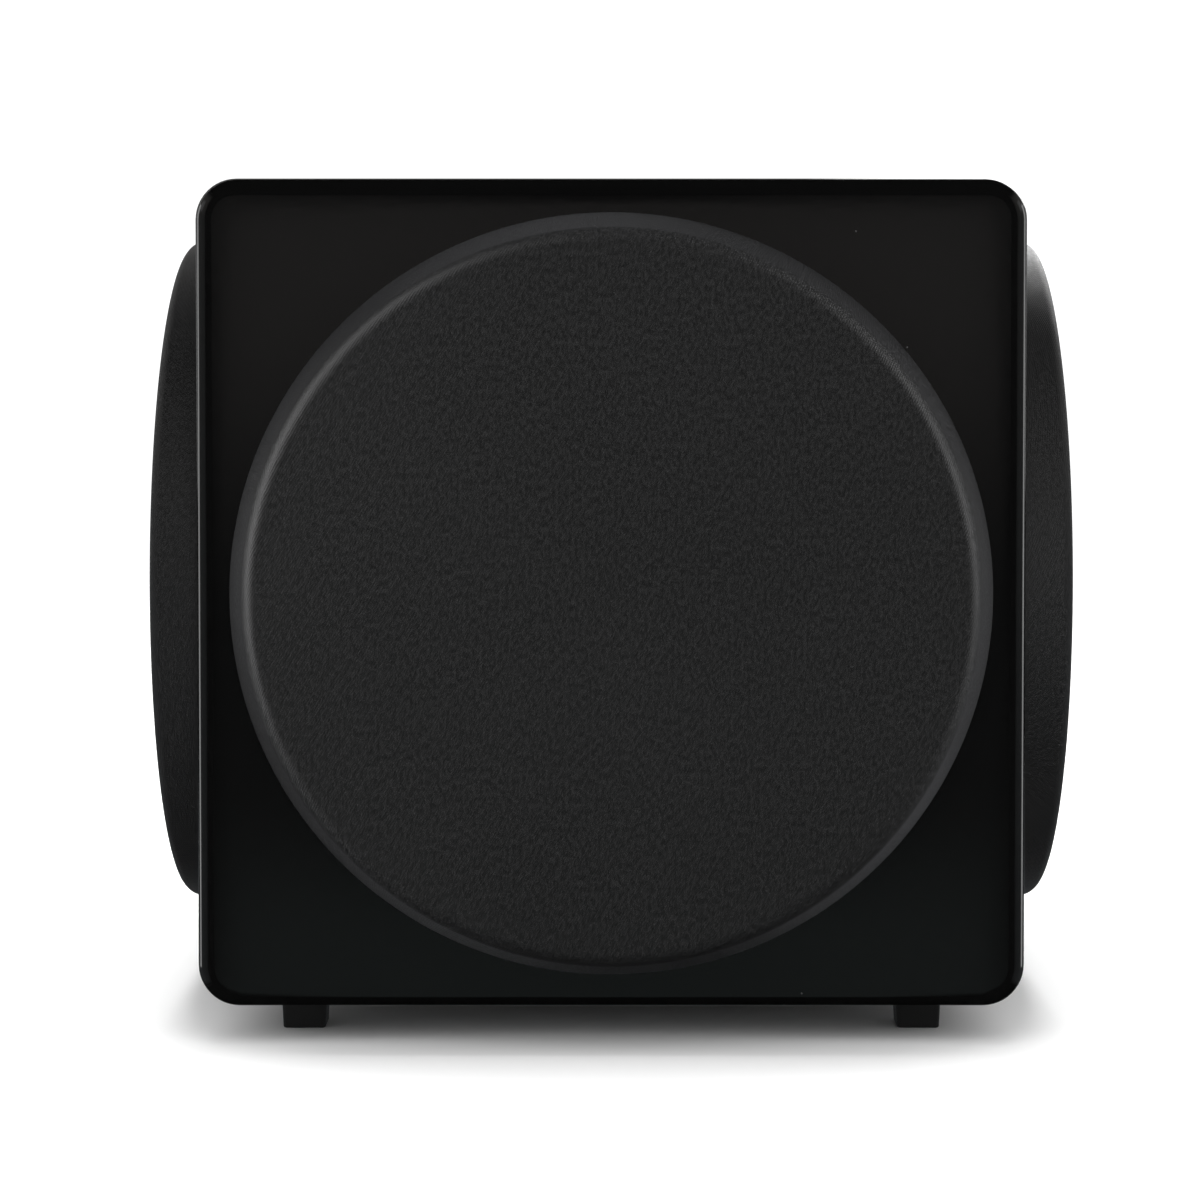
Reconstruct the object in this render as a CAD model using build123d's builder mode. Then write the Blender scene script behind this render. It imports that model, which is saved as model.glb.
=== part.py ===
from build123d import *
import math
import os

# A cube-shaped powered subwoofer: one driven woofer behind a round grille on the front,
# a passive radiator behind the same grille on each side, and a plate amplifier at the back.
# Millimetres. +Z is up and the front faces -Y. The origin is on the floor, under the middle.

os.makedirs("parts", exist_ok=True)

# ---------------------------------------------------------------- driving dimensions

# Cabinet
CABINET = 320.0            # outer edge of the cube
WALL = 18.0                # panel thickness
CORNER = 16.0              # radius of the four edges that run front to back
EDGE = 7.0                 # rounding around the front and the rear face
BRACE_WIDTH = 220.0
BRACE_THICKNESS = 12.0
BRACE_FROM = 12.0          # front face of the brace, behind the cabinet's middle
BRACE_WINDOW = (170.0, 220.0)
BRACE_WINDOW_CORNER = 40.0

# Feet
FOOT_HEIGHT = 14.0
FOOT_WIDTH = 16.6          # at the floor
FOOT_FLARE = 3.0           # degrees that each side leans out towards the cabinet
FOOT_SPACING = 242.8       # between the feet's middles, both ways
FOOT_CORNER = 1.6
FOOT_EDGE = 0.8            # rounding around the sole
FOOT_SCREW_R = 2.0
FOOT_SCREW_HEAD_R = 4.0
FOOT_SCREW_HEAD = (4.0, 7.0)       # from the head's outer face to its seat, above the floor
FOOT_SCREW_TIP = 26.0

# Grilles: a cloth skin over a moulded frame that pushes into rubber sockets
GRILLE_R = 146.7
GRILLE_PROUD = 21.95       # from the panel's face to the crown of the cloth
GRILLE_CROWN = 0.95        # how far the flat face falls from its middle to its rim
GRILLE_FLAT_R = 134.6      # where the shoulder starts
SHOULDER_R = 6.5           # radius of the shoulder between the face and the sloping side
GRILLE_GAP = 0.4           # between the panel's face and the hem
SHOULDER_FOOT = 2.0        # height at which the sloping side meets the hem
CLOTH = 0.8
RIM = 3.0                  # thickness of the frame's moulded wall
RIM_RING_R = 133.0         # inner radius of the frame's back ring
RIM_LIP_R = 128.0          # inner radius of the frame's front lip
SPOKE_WIDTH = 6.0
SPOKE_TOP = 19.6
SPOKE_DEPTH = 4.6
SPOKE_COUNT = 6
SPOKE_RING = (72.0, 78.0)  # inner and outer radius of the ring that ties the spokes together
SPOKE_HUB_R = 16.0
PEG_CIRCLE = 138.5
PEG_COUNT = 4
PEG_R = 3.0
PEG_REACH = 9.0            # how far a peg stands into its socket
SOCKET_R = 4.0
SOCKET_DEPTH = 12.0

# Drivers, radii about the driver's own axis and heights above the panel's face
FLANGE_R = 130.0
FLANGE_THICKNESS = 5.0
FLANGE_INNER_R = 112.0
GASKET = 1.0
CUTOUT_R = 118.5
LANDING_R = 118.0          # outer edge of the step that the surround is glued to
LANDING_DEPTH = 2.0
COLLAR_DEPTH = 8.0         # where the basket starts to narrow
SCREW_CIRCLE = 124.0
SCREW_COUNT = 8
SCREW_R = 2.2
SCREW_LENGTH = 15.0
SCREW_HEAD_R = 4.2
SCREW_HEAD = 2.8
HEX_R = 2.2                # size of the screws' hexagon sockets
HEX_DEPTH = 1.9
CONE_R = 94.0
CONE_LIP = 8.0             # width of the flat lip around the cone
CONE_EDGE = -3.2           # height of the lip's underside
CONE_NECK = -44.0          # height of the woofer cone's neck
CONE_WALL = 1.2
ROLL_R = 9.0               # radius of the surround's half roll
ROLL_WALL = 1.2
COIL_R = 25.0
DOME_R = 36.0              # edge of the dust cap
DOME_RISE = 13.0
FLANGE_FOOT_R = 117.0      # outer radius of the frame just behind the flange

# Woofer motor, depths below the panel's face
BASKET_WAIST_R = 78.0      # outer radius of the basket beside the spider
BASKET_BORE_R = 72.0
BASKET_WINDOWS = 6
BASKET_WINDOW_R = (86.0, 107.0)
BASKET_ARM = 24.0          # width of each arm between two windows
BASKET_SHELF = 46.0        # the step that holds the spider
BASKET_FLOOR = 62.0
BASKET_BACK = 66.0
TOP_PLATE = 8.0
MAGNET = 24.0
YOKE = 8.0
TOP_PLATE_R = 62.0
MAGNET_R = 70.0
MAGNET_BORE_R = 34.0
YOKE_R = 66.0
VENT_R = 9.0
POLE_R = 24.4

# Amplifier, laid out as seen from behind: u to the right, v up from the middle of the panel
PLATE = 250.0
PLATE_THICKNESS = 3.0
AMP_GASKET = 1.0
AMP_CUTOUT = 230.0
HOUSING = 226.0
HOUSING_DEPTH = 58.0
HOUSING_WALL = 2.5
AMP_SCREW_SPACING = 120.0
AMP_SCREW_HEAD_R = 4.0
AMP_SCREW_HEAD = 2.6
AMP_SCREW_REACH = 12.0     # how far the screws stand into the rear panel
SINK_AT = (-61.0, 0.0)
SINK_SIZE = (98.0, 204.0)
FIN_COUNT = 14
FIN = 2.0
SINK_BASE = 4.0
KNOBS_AT = ((42.0, 78.0), (88.0, 78.0))
SWITCHES_AT = ((42.0, 38.0), (88.0, 38.0))
SOCKETS_AT = ((50.0, 4.0), (80.0, 4.0))
ROCKER_AT = (65.0, -36.0)
INLET_AT = (65.0, -82.0)
LIGHT_AT = (65.0, 103.0)

# Fits
RUNNING = 0.05             # radial clearance of a shaft or peg that moves
GUIDE = 0.3                # clearance around a sliding block
LOOSE = 0.1                # clearance around a fixed fastener

HALF = CABINET / 2
INSIDE = CABINET - 2 * WALL
MIDDLE = FOOT_HEIGHT + HALF


class Side:
    """One face of the cabinet: planes parallel to it, a section plane and the axis through its middle."""

    def __init__(self, outward, across):
        self.outward = Vector(*outward)
        self.across = Vector(*across)
        self.origin = Vector(0, 0, MIDDLE) + self.outward * HALF
        self.axis = Axis(self.origin, self.outward)
        self.section = Plane(
            origin=self.origin, x_dir=self.across, z_dir=self.across.cross(self.outward)
        )

    def plane(self, height=0.0, at=(0.0, 0.0)):
        """The plane parallel to the face, height outside it, with its origin at (right, up)."""
        up = self.outward.cross(self.across)
        origin = self.origin + self.outward * height + self.across * at[0] + up * at[1]
        return Plane(origin=origin, x_dir=self.across, z_dir=self.outward)


front = Side((0, -1, 0), (1, 0, 0))
left = Side((-1, 0, 0), (0, -1, 0))
right = Side((1, 0, 0), (0, 1, 0))
rear = Side((0, 1, 0), (-1, 0, 0))


def save(body, name):
    """Label a finished piece and write it to its own file."""
    body.part.label = name
    export_step(body.part, f"parts/{name}.step")


# ---------------------------------------------------------------- cabinet


def driver_opening(side):
    """What a panel loses: the flange's recess, the cut-out, the pilot holes and the socket holes."""
    with BuildPart() as opening:
        with BuildSketch(side.plane()):
            Circle(FLANGE_R + 0.5)
        extrude(amount=-(FLANGE_THICKNESS + GASKET))
        with BuildSketch(side.plane()):
            Circle(CUTOUT_R)
        extrude(amount=-WALL - 1)
        with BuildSketch(side.plane()):
            with PolarLocations(SCREW_CIRCLE, SCREW_COUNT):
                Circle(SCREW_R + LOOSE)
        extrude(amount=-(SCREW_LENGTH + 1))
        with BuildSketch(side.plane()):
            with PolarLocations(PEG_CIRCLE, PEG_COUNT, start_angle=45):
                Circle(SOCKET_R + RUNNING)
        extrude(amount=-SOCKET_DEPTH)
    return opening


def wrap_panel(turn, *cutters):
    """One mitred board of the wrap between the front and rear panels, turned about the Y axis."""
    with BuildPart() as panel:
        with BuildSketch(front.plane(-WALL)):
            RectangleRounded(CABINET, CABINET, CORNER)
            Rectangle(INSIDE, INSIDE, mode=Mode.SUBTRACT)
            Polygon((0, 0), (HALF, HALF), (-HALF, HALF), align=None, rotation=turn,
                    mode=Mode.INTERSECT)
        extrude(amount=-INSIDE)
        for cutter in cutters:
            add(cutter.part, mode=Mode.SUBTRACT)
    return panel


openings = {side: driver_opening(side) for side in (front, left, right)}

with BuildPart() as front_baffle:
    with BuildSketch(front.plane(-WALL)):
        RectangleRounded(CABINET, CABINET, CORNER)
    extrude(amount=WALL)
    fillet(front_baffle.faces().sort_by(Axis.Y)[0].edges(), EDGE)
    add(openings[front].part, mode=Mode.SUBTRACT)
save(front_baffle, "front_baffle")

with BuildPart() as rear_panel:
    with BuildSketch(rear.plane(-WALL)):
        RectangleRounded(CABINET, CABINET, CORNER)
    extrude(amount=WALL)
    fillet(rear_panel.faces().sort_by(Axis.Y)[-1].edges(), EDGE)
    with BuildSketch(rear.plane()):
        Rectangle(AMP_CUTOUT, AMP_CUTOUT)
    extrude(amount=-WALL, mode=Mode.SUBTRACT)
    with BuildSketch(rear.plane()):
        with GridLocations(AMP_SCREW_SPACING, AMP_SCREW_SPACING, 3, 3):
            Circle(SCREW_R + LOOSE)
    extrude(amount=-AMP_SCREW_REACH - 1, mode=Mode.SUBTRACT)
save(rear_panel, "rear_panel")

with BuildPart() as foot_pilots:
    with BuildSketch(Plane.XY.offset(FOOT_HEIGHT)):
        with GridLocations(FOOT_SPACING, FOOT_SPACING, 2, 2):
            Circle(FOOT_SCREW_R + LOOSE)
    extrude(amount=FOOT_SCREW_TIP - FOOT_HEIGHT + 1)

save(wrap_panel(0), "top_panel")
save(wrap_panel(90, openings[left]), "left_panel")
save(wrap_panel(180, foot_pilots), "bottom_panel")
save(wrap_panel(270, openings[right]), "right_panel")

with BuildPart() as window_brace:
    with BuildSketch(front.plane(-HALF - BRACE_FROM)):
        Rectangle(BRACE_WIDTH, INSIDE)
        RectangleRounded(*BRACE_WINDOW, BRACE_WINDOW_CORNER, mode=Mode.SUBTRACT)
    extrude(amount=-BRACE_THICKNESS)
save(window_brace, "window_brace")

# ---------------------------------------------------------------- feet

with BuildPart() as feet:
    with BuildSketch():
        with GridLocations(FOOT_SPACING, FOOT_SPACING, 2, 2):
            RectangleRounded(FOOT_WIDTH, FOOT_WIDTH, FOOT_CORNER)
    extrude(amount=FOOT_HEIGHT, taper=-FOOT_FLARE)
    fillet(feet.faces().group_by(Axis.Z)[0].edges(), FOOT_EDGE)
    with BuildSketch():
        with GridLocations(FOOT_SPACING, FOOT_SPACING, 2, 2):
            Circle(FOOT_SCREW_HEAD_R + 0.6)
    extrude(amount=FOOT_SCREW_HEAD[1], mode=Mode.SUBTRACT)
    with BuildSketch():
        with GridLocations(FOOT_SPACING, FOOT_SPACING, 2, 2):
            Circle(FOOT_SCREW_R + LOOSE)
    extrude(amount=FOOT_HEIGHT, mode=Mode.SUBTRACT)
save(feet, "feet")

with BuildPart() as foot_screws:
    with BuildSketch(Plane.XY.offset(FOOT_SCREW_HEAD[0])):
        with GridLocations(FOOT_SPACING, FOOT_SPACING, 2, 2):
            Circle(FOOT_SCREW_HEAD_R)
    extrude(amount=FOOT_SCREW_HEAD[1] - FOOT_SCREW_HEAD[0])
    with BuildSketch(Plane.XY.offset(FOOT_SCREW_HEAD[1])):
        with GridLocations(FOOT_SPACING, FOOT_SPACING, 2, 2):
            Circle(FOOT_SCREW_R)
    extrude(amount=FOOT_SCREW_TIP - FOOT_SCREW_HEAD[1])
    with BuildSketch(Plane.XY.offset(FOOT_SCREW_HEAD[0])):
        with GridLocations(FOOT_SPACING, FOOT_SPACING, 2, 2):
            RegularPolygon(0.45 * FOOT_SCREW_HEAD_R, 6)
    extrude(amount=HEX_DEPTH, mode=Mode.SUBTRACT)
save(foot_screws, "foot_screws")

# ---------------------------------------------------------------- grilles


shoulder_centre = GRILLE_PROUD - GRILLE_CROWN - SHOULDER_R
side_run = GRILLE_R - GRILLE_FLAT_R
side_rise = shoulder_centre - SHOULDER_FOOT
side_slope = (math.acos(SHOULDER_R / math.hypot(side_run, side_rise))
              - math.atan2(side_rise, side_run))


def side_radius(inset, height):
    """Radius of the grille's sloping side, inset all over, at a height above the panel."""
    foot = GRILLE_R - inset / math.cos(side_slope)
    return foot - max(0.0, height - SHOULDER_FOOT) * math.tan(side_slope)


def shoulder_line(inset, foot_height):
    """The rounded shoulder and the sloping side below it, inset all over."""
    reach = SHOULDER_R - inset
    turn = math.degrees(side_slope)
    CenterArc((GRILLE_FLAT_R, shoulder_centre), reach, turn, 90 - turn)
    foot_of_arc = (GRILLE_FLAT_R + reach * math.cos(side_slope),
                   shoulder_centre + reach * math.sin(side_slope))
    Line(foot_of_arc, (side_radius(inset, foot_height), foot_height))


def grille_outline(inset):
    """The grille's outside, inset all over, from its axis out and down to the hem."""
    top = GRILLE_PROUD - inset
    ThreePointArc(
        (0, top), (GRILLE_FLAT_R / 2, top - GRILLE_CROWN / 4), (GRILLE_FLAT_R, top - GRILLE_CROWN)
    )
    shoulder_line(inset, SHOULDER_FOOT)
    return side_radius(inset, SHOULDER_FOOT)


def peg_circles(radius):
    with PolarLocations(PEG_CIRCLE, PEG_COUNT, start_angle=45):
        Circle(radius)


def grille_cloth(side):
    """The stretched cloth: a skin over the whole front with a hem turned in behind the frame."""
    back = GRILLE_GAP + CLOTH
    with BuildPart() as cloth:
        with BuildSketch(side.section):
            with BuildLine():
                outer = grille_outline(0)
                inner = grille_outline(CLOTH)
                Line((0, GRILLE_PROUD), (0, GRILLE_PROUD - CLOTH))
                Polyline((outer, SHOULDER_FOOT), (outer, GRILLE_GAP), (RIM_RING_R + 0.5, GRILLE_GAP),
                         (RIM_RING_R + 0.5, back), (inner, back), (inner, SHOULDER_FOOT))
            make_face()
        revolve(axis=side.axis)
        with BuildSketch(side.plane()):
            peg_circles(PEG_R + GUIDE)
        extrude(amount=back + 0.1, mode=Mode.SUBTRACT)
    return cloth


def grille_frame(side):
    """The moulded frame: a hollow rim, spokes and a hub behind the cloth, and pegs at the back."""
    back = GRILLE_GAP + CLOTH
    inner_foot = back + RIM
    shoulder_top = GRILLE_PROUD - CLOTH - GRILLE_CROWN
    with BuildPart() as frame:
        with BuildSketch(side.section):
            with BuildLine():
                outer = side_radius(CLOTH, SHOULDER_FOOT)
                shoulder_line(CLOTH, SHOULDER_FOOT)
                Polyline((GRILLE_FLAT_R, shoulder_top), (RIM_LIP_R, shoulder_top),
                         (RIM_LIP_R, shoulder_top - RIM), (GRILLE_FLAT_R, shoulder_top - RIM))
                shoulder_line(CLOTH + RIM, inner_foot)
                Polyline((side_radius(CLOTH + RIM, inner_foot), inner_foot),
                         (RIM_RING_R, inner_foot), (RIM_RING_R, back), (outer, back),
                         (outer, SHOULDER_FOOT))
            make_face()
        revolve(axis=side.axis)
        with BuildSketch(side.plane(SPOKE_TOP)):
            Circle(SPOKE_RING[1])
            Circle(SPOKE_RING[0], mode=Mode.SUBTRACT)
            Circle(SPOKE_HUB_R)
            with PolarLocations(RIM_LIP_R / 2 + 2, SPOKE_COUNT, start_angle=30):
                Rectangle(RIM_LIP_R, SPOKE_WIDTH)
        extrude(amount=-SPOKE_DEPTH)
        with BuildSketch(side.plane(-PEG_REACH)):
            peg_circles(PEG_R)
        extrude(amount=PEG_REACH + inner_foot)
        chamfer(frame.faces().filter_by(GeomType.PLANE).sort_by(side.axis)[0:PEG_COUNT].edges(), 1.0)
    return frame


for side_name, side in (("front", front), ("left", left), ("right", right)):
    save(grille_cloth(side), f"{side_name}_grille_cloth")
    save(grille_frame(side), f"{side_name}_grille_frame")

with BuildPart() as grille_sockets:
    for side in (front, left, right):
        with BuildSketch(side.plane()):
            peg_circles(SOCKET_R)
        extrude(amount=-SOCKET_DEPTH)
        with BuildSketch(side.plane()):
            peg_circles(PEG_R + RUNNING)
        extrude(amount=-SOCKET_DEPTH + 1.5, mode=Mode.SUBTRACT)
save(grille_sockets, "grille_sockets")

# ---------------------------------------------------------------- shared driver pieces

with BuildPart() as driver_gaskets:
    for side in (front, left, right):
        with BuildSketch(side.plane(-FLANGE_THICKNESS - GASKET)):
            Circle(FLANGE_R - 0.5)
            Circle(CUTOUT_R + 0.5, mode=Mode.SUBTRACT)
            with PolarLocations(SCREW_CIRCLE, SCREW_COUNT):
                Circle(SCREW_R + LOOSE, mode=Mode.SUBTRACT)
        extrude(amount=GASKET)
save(driver_gaskets, "driver_gaskets")

with BuildPart() as driver_screws:
    for side in (front, left, right):
        with BuildSketch(side.plane()):
            with PolarLocations(SCREW_CIRCLE, SCREW_COUNT):
                Circle(SCREW_HEAD_R)
        extrude(amount=SCREW_HEAD)
        with BuildSketch(side.plane()):
            with PolarLocations(SCREW_CIRCLE, SCREW_COUNT):
                Circle(SCREW_R)
        extrude(amount=-SCREW_LENGTH)
        with BuildSketch(side.plane(SCREW_HEAD)):
            with PolarLocations(SCREW_CIRCLE, SCREW_COUNT):
                RegularPolygon(HEX_R, 6)
        extrude(amount=-HEX_DEPTH, mode=Mode.SUBTRACT)
save(driver_screws, "driver_screws")


def flange_holes(side):
    """What a driver's frame loses: clearance holes for its screws."""
    with BuildPart() as holes:
        with BuildSketch(side.plane()):
            with PolarLocations(SCREW_CIRCLE, SCREW_COUNT):
                Circle(SCREW_R + 0.4)
        extrude(amount=-FLANGE_THICKNESS)
    return holes


def surround(side):
    """The half-roll rubber ring between the cone's rim and the step in the frame's flange."""
    lip = -LANDING_DEPTH
    middle = (FLANGE_INNER_R + CONE_R) / 2
    outer = ROLL_R + ROLL_WALL / 2
    inner = ROLL_R - ROLL_WALL / 2
    with BuildPart() as ring:
        with BuildSketch(side.section):
            with BuildLine():
                ThreePointArc(
                    (middle - outer, lip + ROLL_WALL),
                    (middle, lip + ROLL_WALL + outer),
                    (middle + outer, lip + ROLL_WALL),
                )
                Polyline((middle + outer, lip + ROLL_WALL), (LANDING_R - 0.5, lip + ROLL_WALL),
                         (LANDING_R - 0.5, lip), (middle + inner, lip))
                ThreePointArc((middle + inner, lip), (middle, lip + inner), (middle - inner, lip))
                Polyline((middle - inner, lip), (CONE_R - CONE_LIP + 1, lip),
                         (CONE_R - CONE_LIP + 1, lip + ROLL_WALL),
                         (middle - outer, lip + ROLL_WALL))
            make_face()
        revolve(axis=side.axis)
    return ring


# ---------------------------------------------------------------- woofer

woofer_holes = flange_holes(front)

with BuildPart() as woofer_basket:
    with BuildSketch(front.section):
        with BuildLine():
            Polyline((FLANGE_R, 0), (FLANGE_R, -FLANGE_THICKNESS), (FLANGE_FOOT_R, -FLANGE_THICKNESS),
                     (BASKET_WAIST_R + 6, -BASKET_SHELF), (BASKET_WAIST_R, -BASKET_SHELF - 4),
                     (BASKET_WAIST_R, -BASKET_BACK), (COIL_R + 5, -BASKET_BACK),
                     (COIL_R + 5, -BASKET_FLOOR), (BASKET_BORE_R, -BASKET_FLOOR),
                     (BASKET_BORE_R, -BASKET_SHELF), (BASKET_WAIST_R + 2, -BASKET_SHELF),
                     (FLANGE_INNER_R, -COLLAR_DEPTH),
                     (FLANGE_INNER_R, -LANDING_DEPTH), (LANDING_R, -LANDING_DEPTH), (LANDING_R, 0),
                     close=True)
        make_face()
    revolve(axis=front.axis)
    with BuildSketch(front.plane(-BASKET_SHELF)):
        Circle(BASKET_WINDOW_R[1])
        Circle(BASKET_WINDOW_R[0], mode=Mode.SUBTRACT)
        with PolarLocations(sum(BASKET_WINDOW_R) / 2, BASKET_WINDOWS):
            Rectangle(2 * (BASKET_WINDOW_R[1] - BASKET_WINDOW_R[0]), BASKET_ARM, mode=Mode.SUBTRACT)
    extrude(amount=BASKET_SHELF - COLLAR_DEPTH, mode=Mode.SUBTRACT)
    add(woofer_holes.part, mode=Mode.SUBTRACT)
save(woofer_basket, "woofer_basket")

save(surround(front), "woofer_surround")

neck_r = COIL_R + 0.5
lip_r = CONE_R - CONE_LIP
cone_slope = (CONE_EDGE - CONE_NECK) / (lip_r - neck_r)

with BuildPart() as woofer_cone:
    with BuildSketch(front.section):
        with BuildLine():
            Polyline((neck_r, CONE_NECK), (lip_r, CONE_EDGE), (CONE_R, CONE_EDGE),
                     (CONE_R, CONE_EDGE + CONE_WALL), (lip_r - 0.5, CONE_EDGE + CONE_WALL),
                     (neck_r, CONE_NECK + CONE_WALL + 0.4), close=True)
        make_face()
    revolve(axis=front.axis)
save(woofer_cone, "woofer_cone")

dome_foot = CONE_NECK + cone_slope * (DOME_R - neck_r) + CONE_WALL + 0.5
dome_sphere = (DOME_R ** 2 + DOME_RISE ** 2) / (2 * DOME_RISE)

with BuildPart() as dust_cap:
    with BuildSketch(front.section):
        with BuildLine():
            outer = RadiusArc((0, dome_foot + DOME_RISE), (DOME_R, dome_foot), dome_sphere)
            inner = RadiusArc((0, dome_foot + DOME_RISE - 1), (DOME_R - 1.5, dome_foot), dome_sphere)
            Line(outer @ 0, inner @ 0)
            Line(outer @ 1, inner @ 1)
        make_face()
    revolve(axis=front.axis)
save(dust_cap, "dust_cap")

COIL_MIDDLE = -BASKET_BACK - TOP_PLATE / 2
COIL_HALF = 14.0
WINDING = 1.8              # thickness of the wire on its former
FORMER = 0.4

with BuildPart() as voice_coil:
    with BuildSketch(front.section):
        with BuildLine():
            Polyline((COIL_R, CONE_NECK + 3), (COIL_R, COIL_MIDDLE - COIL_HALF),
                     (COIL_R + FORMER + WINDING, COIL_MIDDLE - COIL_HALF),
                     (COIL_R + FORMER + WINDING, COIL_MIDDLE + COIL_HALF),
                     (COIL_R + FORMER, COIL_MIDDLE + COIL_HALF), (COIL_R + FORMER, CONE_NECK + 3),
                     close=True)
        make_face()
    revolve(axis=front.axis)
save(voice_coil, "voice_coil")

SPIDER_INNER = COIL_R + 0.5
SPIDER_OUTER = BASKET_BORE_R
SPIDER_WAVES = 8
SPIDER_WALL = 0.7
wave = (SPIDER_OUTER - SPIDER_INNER) / SPIDER_WAVES

with BuildPart() as spider:
    with BuildSketch(front.section):
        with BuildLine():
            for level in (-BASKET_SHELF, -BASKET_SHELF + SPIDER_WALL):
                for step in range(SPIDER_WAVES):
                    start = SPIDER_INNER + step * wave
                    crest = 2.0 if step % 2 else -2.0
                    ThreePointArc((start, level), (start + wave / 2, level + crest), (start + wave, level))
                Line((SPIDER_OUTER, level), (SPIDER_OUTER + 6.5, level))
            for end in (SPIDER_INNER, SPIDER_OUTER + 6.5):
                Line((end, -BASKET_SHELF), (end, -BASKET_SHELF + SPIDER_WALL))
        make_face()
    revolve(axis=front.axis)
save(spider, "spider")

with BuildPart() as top_plate:
    with BuildSketch(front.plane(-BASKET_BACK)):
        Circle(TOP_PLATE_R)
        Circle(COIL_R + 3, mode=Mode.SUBTRACT)
    extrude(amount=-TOP_PLATE)
save(top_plate, "top_plate")

with BuildPart() as magnet:
    with BuildSketch(front.plane(-BASKET_BACK - TOP_PLATE)):
        Circle(MAGNET_R)
        Circle(MAGNET_BORE_R, mode=Mode.SUBTRACT)
    extrude(amount=-MAGNET)
    chamfer(magnet.edges().filter_by(GeomType.CIRCLE), 1.5)
save(magnet, "magnet")

with BuildPart() as pole_yoke:
    with BuildSketch(front.plane(-BASKET_BACK)):
        Circle(POLE_R)
    extrude(amount=-TOP_PLATE - MAGNET)
    with BuildSketch(front.plane(-BASKET_BACK - TOP_PLATE - MAGNET)):
        Circle(YOKE_R)
    extrude(amount=-YOKE)
    with BuildSketch(front.plane(-BASKET_BACK)):
        Circle(VENT_R)
    extrude(amount=-TOP_PLATE - MAGNET - YOKE, mode=Mode.SUBTRACT)
save(pole_yoke, "pole_yoke")

# A small block on the side of the basket takes the amplifier's lead.
TERMINAL_X = 78.2
TERMINAL_BACK = -BASKET_FLOOR - 2
TERMINAL = (12.0, 18.0, 13.0)
TERMINAL_OUT = TERMINAL_X + TERMINAL[0] / 2

with BuildPart() as woofer_terminal:
    with BuildSketch(front.plane(TERMINAL_BACK, (TERMINAL_OUT, 0))):
        RectangleRounded(TERMINAL[0], TERMINAL[1], 1.5)
    extrude(amount=TERMINAL[2])
save(woofer_terminal, "woofer_terminal")

# The lead runs through the brace's window, from the amplifier's box to the terminal block.
LEAD_R = 2.5
lead_start = HALF + AMP_GASKET - HOUSING_DEPTH
lead_end = -HALF - TERMINAL_BACK
lead_route = (
    (58, lead_start, 120),
    (58, lead_start - 42, 120),
    (63, 4, 139),
    (71, -47, 162),
    (TERMINAL_OUT, lead_end + 23, MIDDLE),
    (TERMINAL_OUT, lead_end, MIDDLE),
)


def bend_radii(points):
    """The largest arc at each corner that leaves both of its runs a straight middle."""
    radii = []
    for before, corner, after in zip(points, points[1:], points[2:]):
        arriving = Vector(*corner) - Vector(*before)
        leaving = Vector(*after) - Vector(*corner)
        half_turn = math.radians(arriving.get_angle(leaving) / 2)
        radii.append(0.45 * min(arriving.length, leaving.length) / math.tan(half_turn))
    return radii


with BuildPart() as speaker_lead:
    with BuildLine():
        FilletPolyline(*lead_route, radius=bend_radii(lead_route))
    with BuildSketch(Plane(origin=lead_route[0], z_dir=front.outward)):
        Circle(LEAD_R)
    sweep()
save(speaker_lead, "speaker_lead")

# ---------------------------------------------------------------- passive radiators

RADIATOR_HUB_R = 26.0
RADIATOR_HUB = -15.0       # depth of the radiator cone's flat middle
WEIGHT_R = 24.0
WEIGHT_THICKNESS = 7.0


def radiator_frame(side):
    """The flange and the short collar that hold a radiator's surround."""
    holes = flange_holes(side)
    with BuildPart() as frame:
        with BuildSketch(side.section):
            with BuildLine():
                Polyline((FLANGE_R, 0), (FLANGE_R, -FLANGE_THICKNESS),
                         (FLANGE_FOOT_R, -FLANGE_THICKNESS), (FLANGE_FOOT_R - 2, -WALL + 2), (FLANGE_INNER_R, -WALL + 2),
                         (FLANGE_INNER_R, -LANDING_DEPTH), (LANDING_R, -LANDING_DEPTH),
                         (LANDING_R, 0), close=True)
            make_face()
        revolve(axis=side.axis)
        add(holes.part, mode=Mode.SUBTRACT)
    return frame


def radiator_cone(side):
    """A closed shallow cone with a flat hub for the tuning weight."""
    with BuildPart() as cone:
        with BuildSketch(side.section):
            with BuildLine():
                Polyline((0, RADIATOR_HUB), (RADIATOR_HUB_R, RADIATOR_HUB), (lip_r, CONE_EDGE),
                         (CONE_R, CONE_EDGE), (CONE_R, CONE_EDGE + CONE_WALL),
                         (lip_r - 0.5, CONE_EDGE + CONE_WALL),
                         (RADIATOR_HUB_R - 0.5, RADIATOR_HUB + CONE_WALL + 0.3),
                         (0, RADIATOR_HUB + CONE_WALL + 0.3), close=True)
            make_face()
        revolve(axis=side.axis)
    return cone


def radiator_weight(side):
    """The steel tuning disc behind the cone's hub."""
    with BuildPart() as weight:
        with BuildSketch(side.plane(RADIATOR_HUB)):
            Circle(WEIGHT_R)
        extrude(amount=-WEIGHT_THICKNESS)
        chamfer(weight.edges().filter_by(GeomType.CIRCLE), 0.8)
    return weight


for side_name, side in (("left", left), ("right", right)):
    save(radiator_frame(side), f"{side_name}_radiator_frame")
    save(surround(side), f"{side_name}_radiator_surround")
    save(radiator_cone(side), f"{side_name}_radiator_cone")
    save(radiator_weight(side), f"{side_name}_radiator_weight")

# ---------------------------------------------------------------- amplifier plate

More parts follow.
